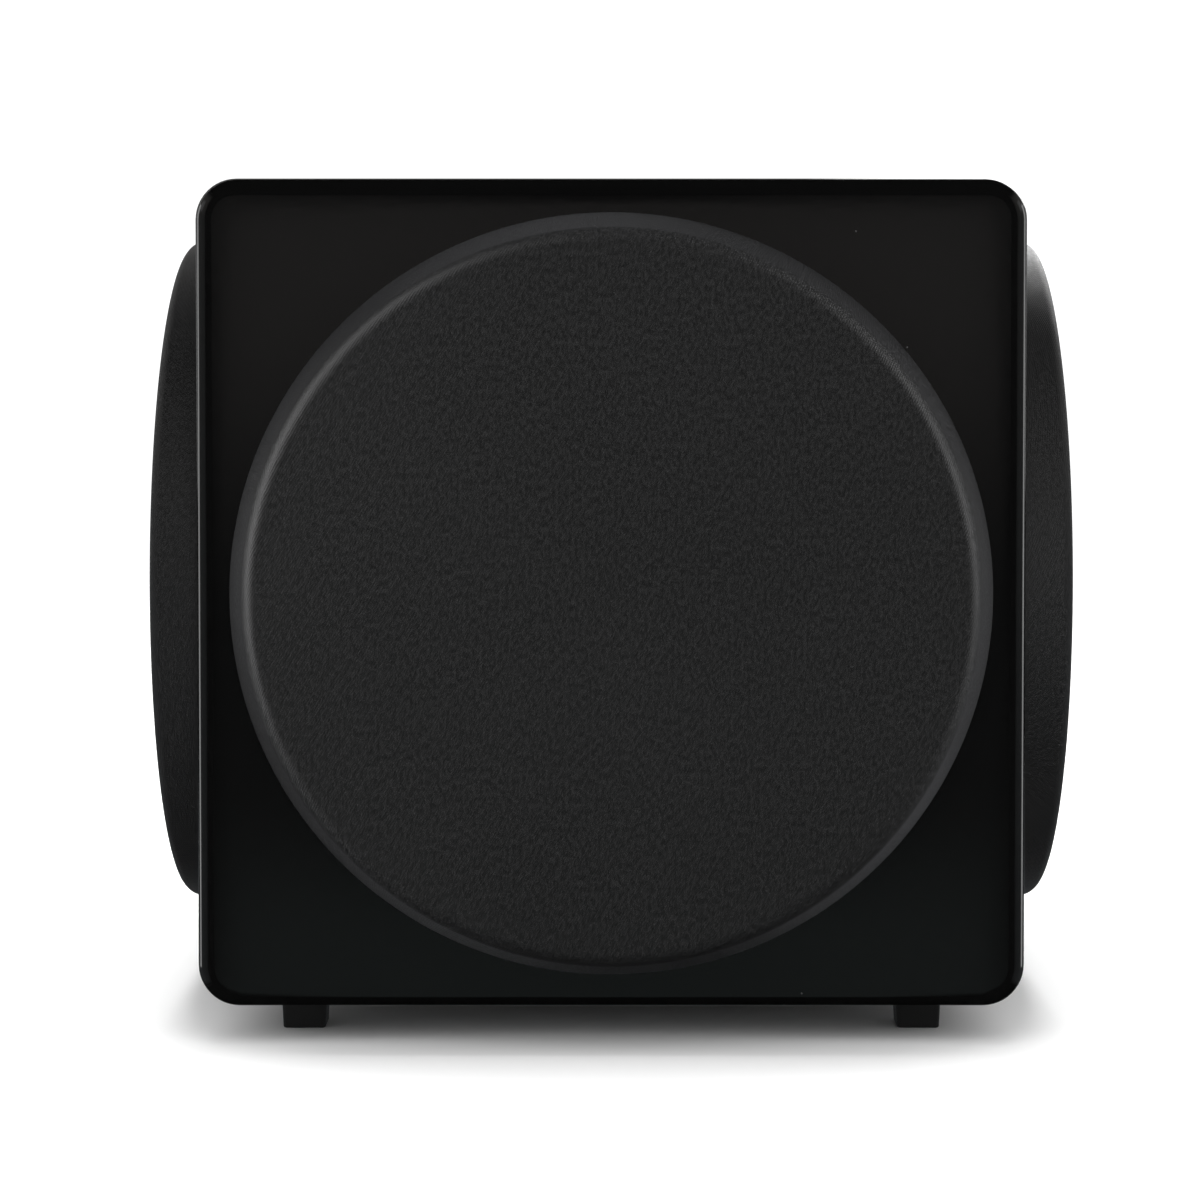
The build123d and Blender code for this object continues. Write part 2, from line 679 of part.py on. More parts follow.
PLATE_BACK = AMP_GASKET
PLATE_FACE = AMP_GASKET + PLATE_THICKNESS
KNOB_R = 10.5
KNOB_HEIGHT = 14.0
SHAFT_R = 3.0
BUSHING_R = 3.8
LEVER = 4.0
SLOT = LEVER + 2 * GUIDE
PHASE_THROW = 4.0          # two positions
MODE_THROW = 3.0           # each way from the middle one of three positions
SWITCH_TRAVELS = (PHASE_THROW, 2 * MODE_THROW)
ROCKER_HALF = (8.0, 11.9)  # half width, and the radius of its rounded ends
ROCKER_PIVOT = -2.0        # depth of the rocker's axis
ROCKER_TILT = 10.0         # degrees either side of level
ROCKER_OPENING = (2 * (ROCKER_HALF[0] + GUIDE), 2 * (ROCKER_HALF[1] + GUIDE))
INLET_FLANGE = (50.0, 36.0)
INLET_BODY = 32.0
INLET_CAVITY = (24.6, 16.6)
INLET_CAVITY_DEPTH = 17.0
INLET_CAVITY_UP = 5.0      # the socket sits above the middle, and the fuse drawer below it
DRAWER = (26.0, 7.4)
DRAWER_DOWN = 10.8
SOCKET_SHELL_R = 4.15
SOCKET_BORE_R = 3.4
LIGHT_R = 2.5

def plate_screw_shapes(shape, *size, mode=Mode.ADD):
    """The same shape at each of the eight places around the plate's edge that take a screw."""
    with GridLocations(2 * AMP_SCREW_SPACING, AMP_SCREW_SPACING, 2, 3):
        shape(*size, mode=mode)
    with GridLocations(AMP_SCREW_SPACING, 2 * AMP_SCREW_SPACING, 1, 2):
        shape(*size, mode=mode)


with BuildPart() as amp_gasket:
    with BuildSketch(rear.plane()):
        Rectangle(PLATE - 1, PLATE - 1)
        Rectangle(AMP_CUTOUT + 1, AMP_CUTOUT + 1, mode=Mode.SUBTRACT)
        with GridLocations(AMP_SCREW_SPACING, AMP_SCREW_SPACING, 3, 3):
            Circle(SCREW_R + LOOSE, mode=Mode.SUBTRACT)
    extrude(amount=AMP_GASKET)
save(amp_gasket, "amp_gasket")

with BuildPart() as amp_plate:
    with BuildSketch(rear.plane(PLATE_BACK)):
        RectangleRounded(PLATE, PLATE, 8)
        plate_screw_shapes(Circle, SCREW_R + 0.4, mode=Mode.SUBTRACT)
        with Locations(*KNOBS_AT):
            Circle(BUSHING_R + LOOSE, mode=Mode.SUBTRACT)
        for spot, travel in zip(SWITCHES_AT, SWITCH_TRAVELS):
            with Locations(spot):
                Rectangle(SLOT, SLOT + travel, mode=Mode.SUBTRACT)
        with Locations(*SOCKETS_AT):
            Circle(5 + LOOSE, mode=Mode.SUBTRACT)
        with Locations(ROCKER_AT):
            Rectangle(20, 27.6, mode=Mode.SUBTRACT)
        with Locations(INLET_AT):
            Rectangle(INLET_BODY + 0.4, INLET_BODY + 0.4, mode=Mode.SUBTRACT)
        with Locations(LIGHT_AT):
            Circle(LIGHT_R + LOOSE, mode=Mode.SUBTRACT)
    extrude(amount=PLATE_THICKNESS)
    chamfer(amp_plate.faces().sort_by(Axis.Y)[-1].outer_wire().edges(), 1.0)
save(amp_plate, "amp_plate")

with BuildPart() as amp_heatsink:
    fin_pitch = SINK_SIZE[0] / (FIN_COUNT - 1)
    with BuildSketch(rear.plane(PLATE_FACE, SINK_AT)):
        Rectangle(SINK_SIZE[0] + FIN, SINK_SIZE[1])
    extrude(amount=SINK_BASE)
    with BuildSketch(rear.plane(PLATE_FACE + SINK_BASE, SINK_AT)):
        with GridLocations(fin_pitch, 0, FIN_COUNT, 1):
            Rectangle(FIN, SINK_SIZE[1])
    extrude(amount=GRILLE_PROUD - PLATE_FACE - SINK_BASE)
save(amp_heatsink, "amp_heatsink")

with BuildPart() as amp_screws:
    with BuildSketch(rear.plane(PLATE_FACE)):
        plate_screw_shapes(Circle, AMP_SCREW_HEAD_R)
    extrude(amount=AMP_SCREW_HEAD)
    with BuildSketch(rear.plane(PLATE_FACE)):
        plate_screw_shapes(Circle, SCREW_R)
    extrude(amount=-PLATE_FACE - AMP_SCREW_REACH)
    with BuildSketch(rear.plane(PLATE_FACE + AMP_SCREW_HEAD)):
        plate_screw_shapes(RegularPolygon, HEX_R, 6)
    extrude(amount=-HEX_DEPTH, mode=Mode.SUBTRACT)
save(amp_screws, "amp_screws")

# ---------------------------------------------------------------- amplifier box

BOARD = (150.0, 170.0)
BOARD_THICKNESS = 1.6
BOARD_AT = -24.0           # depth of the board's rear face
POSTS = (140.0, 160.0)
POST_R = 4.0
TRANSFORMER_AT = (-34.0, -34.0)
TRANSFORMER_R = (13.0, 38.0)       # bore and outside
TRANSFORMER_HEIGHT = 27.0
CAPACITORS_AT = (40.0, 34.0)
CAPACITOR_SPACING = 28.0
CAPACITOR_R = 11.0
CAPACITOR_HEIGHT = 25.0

with BuildPart() as amp_housing:
    with BuildSketch(rear.plane(PLATE_BACK)):
        RectangleRounded(HOUSING, HOUSING, 6)
    extrude(amount=-HOUSING_DEPTH)
    with BuildSketch(rear.plane(PLATE_BACK)):
        RectangleRounded(HOUSING - 2 * HOUSING_WALL, HOUSING - 2 * HOUSING_WALL, 4)
    extrude(amount=-HOUSING_DEPTH + HOUSING_WALL, mode=Mode.SUBTRACT)
    with BuildSketch(rear.plane(PLATE_BACK - HOUSING_DEPTH + HOUSING_WALL / 2)):
        with GridLocations(*POSTS, 2, 2):
            Circle(POST_R)
    extrude(amount=HOUSING_DEPTH - HOUSING_WALL / 2 - PLATE_BACK + BOARD_AT - BOARD_THICKNESS)
save(amp_housing, "amp_housing")

with BuildPart() as amp_board:
    with BuildSketch(rear.plane(BOARD_AT)):
        Rectangle(*BOARD)
    extrude(amount=-BOARD_THICKNESS)
save(amp_board, "amp_board")

with BuildPart() as amp_transformer:
    with BuildSketch(rear.plane(BOARD_AT - BOARD_THICKNESS - 1, TRANSFORMER_AT)):
        Circle(TRANSFORMER_R[1])
        Circle(TRANSFORMER_R[0], mode=Mode.SUBTRACT)
    extrude(amount=-TRANSFORMER_HEIGHT)
    fillet(amp_transformer.edges().filter_by(GeomType.CIRCLE), 6)
save(amp_transformer, "amp_transformer")

with BuildPart() as amp_capacitors:
    with BuildSketch(rear.plane(BOARD_AT - BOARD_THICKNESS, CAPACITORS_AT)):
        with GridLocations(CAPACITOR_SPACING, CAPACITOR_SPACING, 2, 2):
            Circle(CAPACITOR_R)
    extrude(amount=-CAPACITOR_HEIGHT)
    fillet(amp_capacitors.faces().sort_by(Axis.Y)[0:4].edges(), 1.5)
save(amp_capacitors, "amp_capacitors")

# ---------------------------------------------------------------- controls

CONTROL_CASE = 17.0        # side of a knob's case
CONTROL_BACK = -14.0       # depth of the knobs' cases
CONTROL_FACE = -2.0
SHAFT_BOTTOM = -12.0
SWITCH_CASE = (12.0, 20.0)
SWITCH_BACK = -11.0
SWITCH_BOTTOM = -9.0
KNOB_FOOT = PLATE_FACE + 0.8
KNOB_FLUTES = 24
KNOB_TOP = 3.0             # thickness of the knob's top over its shaft
LEVER_FOOT = SWITCH_BOTTOM + 0.5
LEVER_OUT = 4.0            # how far a lever stands out of the plate

with BuildPart() as control_cases:
    with BuildSketch(rear.plane(CONTROL_BACK)):
        with Locations(*KNOBS_AT):
            RectangleRounded(CONTROL_CASE, CONTROL_CASE, 1)
    extrude(amount=CONTROL_FACE - CONTROL_BACK)
    with BuildSketch(rear.plane(CONTROL_FACE)):
        with Locations(*KNOBS_AT):
            Circle(BUSHING_R)
    extrude(amount=PLATE_FACE + 0.6 - CONTROL_FACE)
    with BuildSketch(rear.plane(SHAFT_BOTTOM)):
        with Locations(*KNOBS_AT):
            Circle(SHAFT_R + RUNNING)
    extrude(amount=PLATE_FACE + 1 - SHAFT_BOTTOM, mode=Mode.SUBTRACT)
    with BuildSketch(rear.plane(SWITCH_BACK)):
        with Locations(*SWITCHES_AT):
            RectangleRounded(*SWITCH_CASE, 1)
    extrude(amount=PLATE_BACK - SWITCH_BACK)
    with BuildSketch(rear.plane(SWITCH_BOTTOM)):
        for spot, travel in zip(SWITCHES_AT, SWITCH_TRAVELS):
            with Locations(spot):
                Rectangle(SLOT, SLOT + travel)
    extrude(amount=PLATE_BACK - SWITCH_BOTTOM, mode=Mode.SUBTRACT)
save(control_cases, "control_cases")


def knob(spot):
    """A fluted knob with a blind bore for its shaft and a pointer groove at the top."""
    with BuildPart() as grip:
        with BuildSketch(rear.plane(KNOB_FOOT, spot)):
            Circle(KNOB_R)
            with PolarLocations(KNOB_R + 0.7, KNOB_FLUTES):
                Circle(1.1, mode=Mode.SUBTRACT)
        extrude(amount=KNOB_HEIGHT, taper=2)
        with BuildSketch(rear.plane(KNOB_FOOT, spot)):
            Circle(SHAFT_R + RUNNING)
        extrude(amount=KNOB_HEIGHT - KNOB_TOP, mode=Mode.SUBTRACT)
        with BuildSketch(rear.plane(KNOB_FOOT, spot)):
            Circle(BUSHING_R + GUIDE)
        extrude(amount=1.2, mode=Mode.SUBTRACT)
        with BuildSketch(rear.plane(KNOB_FOOT + KNOB_HEIGHT, spot)):
            with Locations((0, 6.5)):
                Rectangle(1.2, 7)
        extrude(amount=-0.8, mode=Mode.SUBTRACT)
    return grip


def shaft(spot):
    """A plain control shaft from its case to inside its knob."""
    with BuildPart() as spindle:
        with BuildSketch(rear.plane(SHAFT_BOTTOM + 0.5, spot)):
            Circle(SHAFT_R)
        extrude(amount=PLATE_FACE + KNOB_HEIGHT - KNOB_TOP - SHAFT_BOTTOM - 0.5)
    return spindle


for control, spot in zip(("volume", "crossover"), KNOBS_AT):
    save(knob(spot), f"{control}_knob")
    save(shaft(spot), f"{control}_shaft")


def lever(spot):
    """A square lever from inside its switch to just outside the plate."""
    with BuildPart() as handle:
        with BuildSketch(rear.plane(LEVER_FOOT, spot)):
            Rectangle(LEVER, LEVER)
        extrude(amount=PLATE_FACE + LEVER_OUT - LEVER_FOOT)
        chamfer(handle.faces().sort_by(Axis.Y)[-1].edges(), 0.5)
    return handle


save(lever((SWITCHES_AT[0][0], SWITCHES_AT[0][1] - PHASE_THROW / 2)), "phase_lever")
save(lever(SWITCHES_AT[1]), "mode_lever")

BEZEL = 1.6                # height of the rocker's frame over the plate

with BuildPart() as rocker_case:
    with BuildSketch(rear.plane(-16, ROCKER_AT)):
        Rectangle(19.6, 27.2)
    extrude(amount=16 + PLATE_FACE)
    with BuildSketch(rear.plane(PLATE_FACE, ROCKER_AT)):
        RectangleRounded(23, 31, 2)
    extrude(amount=BEZEL)
    with BuildSketch(rear.plane(PLATE_FACE + BEZEL, ROCKER_AT)):
        Rectangle(*ROCKER_OPENING)
    extrude(amount=-PLATE_FACE - BEZEL - 14, mode=Mode.SUBTRACT)
save(rocker_case, "rocker_case")

with BuildPart() as power_rocker:
    pivot = rear.plane(ROCKER_PIVOT, ROCKER_AT).origin
    crest = 6.6
    rise = 12 * math.tan(math.radians(ROCKER_TILT))
    with BuildSketch(Plane(origin=pivot, x_dir=(0, 0, 1), z_dir=(-1, 0, 0))):
        Circle(ROCKER_HALF[1])
        Polygon((-12, -5.5), (12, -5.5), (12, crest + rise), (0, crest), (-12, crest + rise),
                align=None, rotation=ROCKER_TILT, mode=Mode.INTERSECT)
    extrude(amount=ROCKER_HALF[0], both=True)
save(power_rocker, "power_rocker")

with BuildPart() as status_light:
    with BuildSketch(rear.plane(-4, LIGHT_AT)):
        Circle(LIGHT_R)
    extrude(amount=4 + PLATE_FACE + 1.6)
    fillet(status_light.faces().sort_by(Axis.Y)[-1].edges(), 1.2)
save(status_light, "status_light")

# ---------------------------------------------------------------- sockets

with BuildPart() as line_sockets:
    with BuildSketch(rear.plane(PLATE_FACE)):
        with Locations(*SOCKETS_AT):
            RegularPolygon(7, 6)
    extrude(amount=2)
    with BuildSketch(rear.plane(-10)):
        with Locations(*SOCKETS_AT):
            Circle(5)
    extrude(amount=10 + PLATE_FACE)
    with BuildSketch(rear.plane(PLATE_FACE)):
        with Locations(*SOCKETS_AT):
            Circle(SOCKET_SHELL_R)
    extrude(amount=12)
    with BuildSketch(rear.plane(PLATE_FACE + 12)):
        with Locations(*SOCKETS_AT):
            Circle(SOCKET_BORE_R)
    extrude(amount=-18, mode=Mode.SUBTRACT)
save(line_sockets, "line_sockets")

with BuildPart() as socket_inserts:
    with BuildSketch(rear.plane(PLATE_FACE - 5.5)):
        with Locations(*SOCKETS_AT):
            Circle(SOCKET_BORE_R - RUNNING)
    extrude(amount=16.5)
    with BuildSketch(rear.plane(PLATE_FACE - 3.5)):
        with Locations(*SOCKETS_AT):
            Circle(1.6)
    extrude(amount=16, mode=Mode.SUBTRACT)
save(socket_inserts, "socket_inserts")

INLET_FACE = PLATE_FACE + 2

with BuildPart() as power_inlet:
    with BuildSketch(rear.plane(-20, INLET_AT)):
        Rectangle(INLET_BODY, INLET_BODY)
    extrude(amount=20 + PLATE_FACE)
    with BuildSketch(rear.plane(PLATE_FACE, INLET_AT)):
        RectangleRounded(*INLET_FLANGE, 5)
    extrude(amount=2)
    wide = INLET_CAVITY[0] / 2
    high = INLET_CAVITY[1] / 2
    with BuildSketch(rear.plane(INLET_FACE, (INLET_AT[0], INLET_AT[1] + INLET_CAVITY_UP))):
        Polygon((-wide, -high), (wide, -high), (wide, high - 5), (wide - 5, high),
                (5 - wide, high), (-wide, high - 5), align=None)
    extrude(amount=-INLET_CAVITY_DEPTH, mode=Mode.SUBTRACT)
    with BuildSketch(rear.plane(INLET_FACE, (INLET_AT[0], INLET_AT[1] - DRAWER_DOWN))):
        Rectangle(DRAWER[0] + 2 * GUIDE, DRAWER[1] + 2 * GUIDE)
    extrude(amount=-18, mode=Mode.SUBTRACT)
    with BuildSketch(rear.plane(PLATE_FACE, INLET_AT)):
        with GridLocations(40, 0, 2, 1):
            Circle(1.7)
    extrude(amount=2, mode=Mode.SUBTRACT)
save(power_inlet, "power_inlet")

with BuildPart() as inlet_pins:
    with BuildSketch(
        rear.plane(INLET_FACE - INLET_CAVITY_DEPTH, (INLET_AT[0], INLET_AT[1] + INLET_CAVITY_UP))
    ):
        with Locations((-7, -2), (0, 2), (7, -2)):
            Rectangle(2, 4)
    extrude(amount=11.5)
save(inlet_pins, "inlet_pins")

with BuildPart() as fuse_drawer:
    with BuildSketch(rear.plane(INLET_FACE - 17, (INLET_AT[0], INLET_AT[1] - DRAWER_DOWN))):
        Rectangle(*DRAWER)
    extrude(amount=17)
    with BuildSketch(rear.plane(INLET_FACE - 14, (INLET_AT[0], INLET_AT[1] - DRAWER_DOWN))):
        Rectangle(20, DRAWER[1])
        Rectangle(20, 1.6, mode=Mode.SUBTRACT)
    extrude(amount=11, mode=Mode.SUBTRACT)
    with BuildSketch(rear.plane(INLET_FACE, (INLET_AT[0], INLET_AT[1] - DRAWER_DOWN))):
        Rectangle(8, 2.4)
    extrude(amount=-1.2, mode=Mode.SUBTRACT)
save(fuse_drawer, "fuse_drawer")
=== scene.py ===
import math

import bpy
from bpy.props import FloatProperty, FloatVectorProperty, IntProperty, PointerProperty
from mathutils import Euler, Matrix, Vector
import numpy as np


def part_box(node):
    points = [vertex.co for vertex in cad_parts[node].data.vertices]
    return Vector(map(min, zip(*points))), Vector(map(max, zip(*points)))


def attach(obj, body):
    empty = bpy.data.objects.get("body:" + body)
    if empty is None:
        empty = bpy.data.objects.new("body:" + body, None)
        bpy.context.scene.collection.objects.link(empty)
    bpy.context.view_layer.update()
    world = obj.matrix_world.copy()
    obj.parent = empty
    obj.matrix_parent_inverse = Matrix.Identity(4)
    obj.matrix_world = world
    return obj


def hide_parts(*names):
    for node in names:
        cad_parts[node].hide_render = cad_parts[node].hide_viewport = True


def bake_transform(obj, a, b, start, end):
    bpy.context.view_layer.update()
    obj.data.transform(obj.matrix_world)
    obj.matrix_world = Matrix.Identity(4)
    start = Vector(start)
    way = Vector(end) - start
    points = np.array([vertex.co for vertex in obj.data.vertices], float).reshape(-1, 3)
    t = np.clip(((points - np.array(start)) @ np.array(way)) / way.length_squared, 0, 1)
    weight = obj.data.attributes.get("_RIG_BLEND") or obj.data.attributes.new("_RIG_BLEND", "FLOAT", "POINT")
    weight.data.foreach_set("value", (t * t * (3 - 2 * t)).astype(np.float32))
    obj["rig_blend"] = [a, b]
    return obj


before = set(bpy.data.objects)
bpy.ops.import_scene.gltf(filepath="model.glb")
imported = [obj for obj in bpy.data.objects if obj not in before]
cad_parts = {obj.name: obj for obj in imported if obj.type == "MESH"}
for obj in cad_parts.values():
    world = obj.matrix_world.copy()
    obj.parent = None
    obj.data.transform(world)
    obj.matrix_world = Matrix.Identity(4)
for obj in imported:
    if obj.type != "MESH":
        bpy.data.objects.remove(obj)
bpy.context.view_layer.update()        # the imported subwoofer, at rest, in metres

bl_info = {
    "name": "Cube subwoofer",
    "version": (1, 0, 0),
    "blender": (4, 5, 0),
    "location": "3D View > Sidebar > Subwoofer",
    "description": "Lacquer, grille cloth, drivers, amplifier panel and a plain studio for a cube subwoofer",
    "category": "Object",
}

MM = 0.001


# ---------------------------------------------------------------- settings


class CabinetSettings(bpy.types.PropertyGroup):
    """Sizes and colour of the lacquered cabinet."""

    corner: FloatProperty(
        name="Long edge radius", description="Radius of the four edges that run front to back",
        default=16 * MM, unit="LENGTH")
    edge: FloatProperty(
        name="Face edge radius", description="Rounding around the front and the rear face",
        default=7 * MM, unit="LENGTH")
    lacquer: FloatVectorProperty(
        name="Lacquer", description="Colour of the lacquer", subtype="COLOR", size=3,
        min=0, max=1, default=(0.0024, 0.0024, 0.0024))
    polish: FloatProperty(
        name="Polish", description="Roughness of the polished lacquer", default=0.07, min=0, max=1)


class GrilleSettings(bpy.types.PropertyGroup):
    """Sizes and colours of the three cloth grilles."""

    flat_radius: FloatProperty(
        name="Flat radius", description="Where the grille's shoulder starts",
        default=134.6 * MM, unit="LENGTH")
    shoulder: FloatProperty(
        name="Shoulder", description="Radius of the bend between the face and the sloping side",
        default=6.5 * MM, unit="LENGTH")
    crown: FloatProperty(
        name="Crown", description="How far the face falls from its middle to its shoulder",
        default=0.95 * MM, unit="LENGTH")
    cloth: FloatProperty(
        name="Cloth", description="Thickness of the stretched cloth", default=0.7 * MM, unit="LENGTH")
    thread: FloatVectorProperty(
        name="Thread", description="Colour of the knitted thread", subtype="COLOR", size=3,
        min=0, max=1, default=(0.0075, 0.0075, 0.0077))
    rib: FloatProperty(
        name="Rib pitch", description="Distance between the knit's columns",
        default=1.15 * MM, unit="LENGTH")


class DriverSettings(bpy.types.PropertyGroup):
    """Sizes and colours of the woofer and the radiators."""

    roll_inner: FloatProperty(
        name="Roll inner radius", description="Where the surround leaves the cone",
        default=94 * MM, unit="LENGTH")
    roll_outer: FloatProperty(
        name="Roll outer radius", description="Where the surround meets the frame",
        default=112 * MM, unit="LENGTH")
    rubber: FloatVectorProperty(
        name="Rubber", description="Colour of the surrounds", subtype="COLOR", size=3,
        min=0, max=1, default=(0.018, 0.018, 0.019))
    pulp: FloatVectorProperty(
        name="Cone", description="Colour of the pressed cones", subtype="COLOR", size=3,
        min=0, max=1, default=(0.028, 0.028, 0.031))


class PanelSettings(bpy.types.PropertyGroup):
    """Colours and marks of the amplifier panel."""

    anodised: FloatVectorProperty(
        name="Anodised", description="Colour of the plate and the heat sink", subtype="COLOR", size=3,
        min=0, max=1, default=(0.036, 0.036, 0.038))
    ticks: IntProperty(
        name="Dial marks", description="Marks around each knob", default=11, min=3)
    print_colour: FloatVectorProperty(
        name="Print", description="Colour of the printed marks", subtype="COLOR", size=3,
        min=0, max=1, default=(0.62, 0.62, 0.6))


class StageSettings(bpy.types.PropertyGroup):
    """The plain studio: floor, lamps and camera."""

    floor_size: FloatProperty(
        name="Floor", description="Side of the square floor", default=9.0, unit="LENGTH")
    backdrop: FloatProperty(
        name="Backdrop", description="Brightness of the white surroundings", default=1.18, min=0)
    lens: FloatProperty(
        name="Lens", description="Focal length on a 36 mm sensor, in millimetres", default=96.2, min=10)
    camera_height: FloatProperty(
        name="Camera height", description="Height of the camera over the floor",
        default=0.267, unit="LENGTH")
    camera_back: FloatProperty(
        name="Camera distance", description="Distance from the cabinet's front face",
        default=1.2296, unit="LENGTH")


SETTINGS = {
    "sub_cabinet": CabinetSettings,
    "sub_grille": GrilleSettings,
    "sub_driver": DriverSettings,
    "sub_panel": PanelSettings,
    "sub_stage": StageSettings,
}


# ---------------------------------------------------------------- shader maths


class Signal:
    """A number that varies over a surface. Arithmetic on it adds Math nodes."""

    def __init__(self, sheet, socket):
        self.sheet = sheet
        self.socket = socket

    def _maths(self, operation, *terms):
        node = self.sheet.add("ShaderNodeMath", {"operation": operation}, dict(enumerate(terms)))
        return Signal(self.sheet, node.outputs[0])

    def __add__(self, other):
        return self._maths("ADD", self, other)

    def __sub__(self, other):
        return self._maths("SUBTRACT", self, other)

    def __mul__(self, other):
        return self._maths("MULTIPLY", self, other)

    def __truediv__(self, other):
        return self._maths("DIVIDE", self, other)

    def __rsub__(self, other):
        return self._maths("SUBTRACT", other, self)

    def __rtruediv__(self, other):
        return self._maths("DIVIDE", other, self)

    def __pow__(self, other):
        return self._maths("POWER", self, other)

    def __abs__(self):
        return self._maths("ABSOLUTE", self)

    def __gt__(self, other):
        return self._maths("GREATER_THAN", self, other)

    def __lt__(self, other):
        return self._maths("LESS_THAN", self, other)

    __radd__ = __add__
    __rmul__ = __mul__

    def sine(self):
        return self._maths("SINE", self)

    def wrapped(self):
        """The part after the decimal point, from 0 to 1."""
        return self._maths("FRACT", self)

    def whole(self):
        return self._maths("FLOOR", self)

    def angle_from(self, other):
        return self._maths("ARCTAN2", self, other)

    def held(self):
        """Kept between 0 and 1."""
        node = self.sheet.add("ShaderNodeClamp", {}, {"Value": self})
        return Signal(self.sheet, node.outputs[0])

    def step(self, low, high):
        """Rises smoothly from 0 at low to 1 at high."""
        node = self.sheet.add(
            "ShaderNodeMapRange", {"interpolation_type": "SMOOTHSTEP"},
            {"Value": self, "From Min": low, "From Max": high})
        return Signal(self.sheet, node.outputs["Result"])


class Finish:
    """A material under construction around one Principled shader."""

    def __init__(self, name, **sockets):
        self.material = bpy.data.materials.new(name)
        self.material.use_nodes = True
        self.tree = self.material.node_tree
        self.shader = self.tree.nodes["Principled BSDF"]
        self.set(**sockets)

    def add(self, kind, settings=None, sockets=None):
        """A node of any kind: its settings are set first, then its sockets' values or links."""
        node = self.tree.nodes.new(kind)
        for key, value in (settings or {}).items():
            setattr(node, key, value)
        for key, value in (sockets or {}).items():
            self.plug(node.inputs[key], value)
        return node

    def plug(self, socket, value):
        if isinstance(value, Signal):
            value = value.socket
        if isinstance(value, bpy.types.NodeSocket):
            self.tree.links.new(value, socket)
        elif socket.type == "RGBA" and len(value) == 3:
            socket.default_value = (*value, 1)
        else:
            socket.default_value = value

    def set(self, **sockets):
        """Principled sockets by name, with _ for each space."""
        for key, value in sockets.items():
            self.plug(self.shader.inputs[key.replace("_", " ")], value)
        return self

    def place(self):
        """The point on the piece, in the row frame, as a vector socket."""
        return self.add("ShaderNodeTexCoord").outputs["Object"]

    def attribute(self, name):
        return self.add("ShaderNodeAttribute", {"attribute_name": name}).outputs["Vector"]

    def axes(self, vector):
        node = self.add("ShaderNodeSeparateXYZ", {}, {"Vector": vector})
        return [Signal(self, out) for out in node.outputs]

    def stretched(self, vector, scale):
        return self.add("ShaderNodeVectorMath", {"operation": "MULTIPLY"},
                        {0: vector, 1: scale}).outputs[0]

    def noise(self, vector, scale, detail=2.0, roughness=0.5):
        node = self.add("ShaderNodeTexNoise", {},
                        {"Vector": vector, "Scale": scale, "Detail": detail, "Roughness": roughness})
        return Signal(self, node.outputs[0])

    def cells(self, vector, scale, feature="F1"):
        """Distance to the nearest random point, and that point's own random number."""
        node = self.add("ShaderNodeTexVoronoi", {"feature": feature},
                        {"Vector": vector, "Scale": scale})
        return Signal(self, node.outputs["Distance"]), self.axes(node.outputs["Color"])[0]

    def specks(self, vector, scale, size, share):
        """1 on sparse small dots: size is their radius in cells, share how many cells have one."""
        distance, chance = self.cells(vector, scale)
        return (1 - distance.step(size * 0.6, size)) * (chance < share)

    def mixed(self, factor, first, second):
        node = self.add("ShaderNodeMix", {"data_type": "RGBA"}, {"Factor": factor})
        self.plug(node.inputs[6], first)
        self.plug(node.inputs[7], second)
        return node.outputs[2]

    def bump(self, height, distance, strength=1.0, under=None):
        sockets = {"Height": height, "Distance": distance, "Strength": strength}
        if under is not None:
            sockets["Normal"] = under
        return self.add("ShaderNodeBump", {}, sockets).outputs[0]


def shade(colour, factor):
    """A plain colour made lighter or darker."""
    return tuple(min(1.0, part * factor) for part in colour)


# ---------------------------------------------------------------- finishes


def piano_lacquer(colour, polish):
    f = Finish("gloss black lacquer", IOR=1.5)
    p = f.place()
    haze = f.noise(p, 9.0, 4.0)
    dust = f.specks(p, 150.0, 0.07, 0.05)
    f.set(Base_Color=f.mixed(dust * 0.6, colour, (0.09, 0.09, 0.09)))
    f.set(Roughness=polish * (0.75 + haze * 0.5) + dust * 0.3)
    peel = f.noise(p, 260.0, 1.0)
    f.set(Normal=f.bump(peel, 0.00004, 0.25))
    return f.material


def knitted_cloth(thread, rib):
    """Fine slanted ribs of tight stitches with a silky crown, a crepe-like unevenness and a little lint,
    with painted shade darkening the low gaps between ribs and stitches and small pits in the knit.
    """
    f = Finish("black knitted cloth", Sheen_Weight=0.05, Sheen_Roughness=0.35,
               Sheen_Tint=(0.75, 0.76, 0.8), Specular_IOR_Level=0.5)
    weave = f.attribute("weave")
    u, v, _ = f.axes(weave)
    wander = f.noise(weave, 90.0, 3.0) * 1.3
    rise = abs(((u - v * 0.6) / rib + wander).wrapped() - 0.5) * 2
    stitch = ((v + u * 0.3) / (rib * 1.15) + rise * 0.5 + wander).wrapped()
    loop = (stitch * math.tau).sine() * 0.5 + 0.5
    height = (1 - rise * rise) * (0.55 + loop * 0.45)
    cloudy = f.noise(weave, 9.0, 3.0, 0.6)
    crepe = f.noise(f.stretched(weave, (1.0, 0.55, 1.0)), 800.0, 2.0, 0.65)
    fuzz = f.noise(weave, 1900.0, 1.0)
    lint = f.specks(f.stretched(weave, (1.0, 0.45, 1.0)), 75.0, 0.03, 0.1)
    # painted shade: sparse small dark dots where the knit has pits
    pit_shade = f.specks(weave, 260.0, 0.15, 0.1)
    grain = crepe.step(0.35, 0.65)
    # painted shade: the weave's height darkens the tone in the low gaps between ribs and stitches; grain and
    # cloudiness are random tone
    tone = (height * 0.35 + grain * 0.52 + cloudy * 0.3 - 0.06).held()
    thread_colour_and_shade = f.mixed(tone * (1 - pit_shade * 0.6), shade(thread, 0.4), shade(thread, 1.55))
    f.set(Base_Color=f.mixed(lint * 0.4, thread_colour_and_shade, (0.09, 0.088, 0.085)))
    f.set(Roughness=0.44 - height * 0.08 + grain * 0.1)
    f.set(Normal=f.bump(height + fuzz * 0.15 + crepe * 0.3, 0.00015, 0.5))
    return f.material


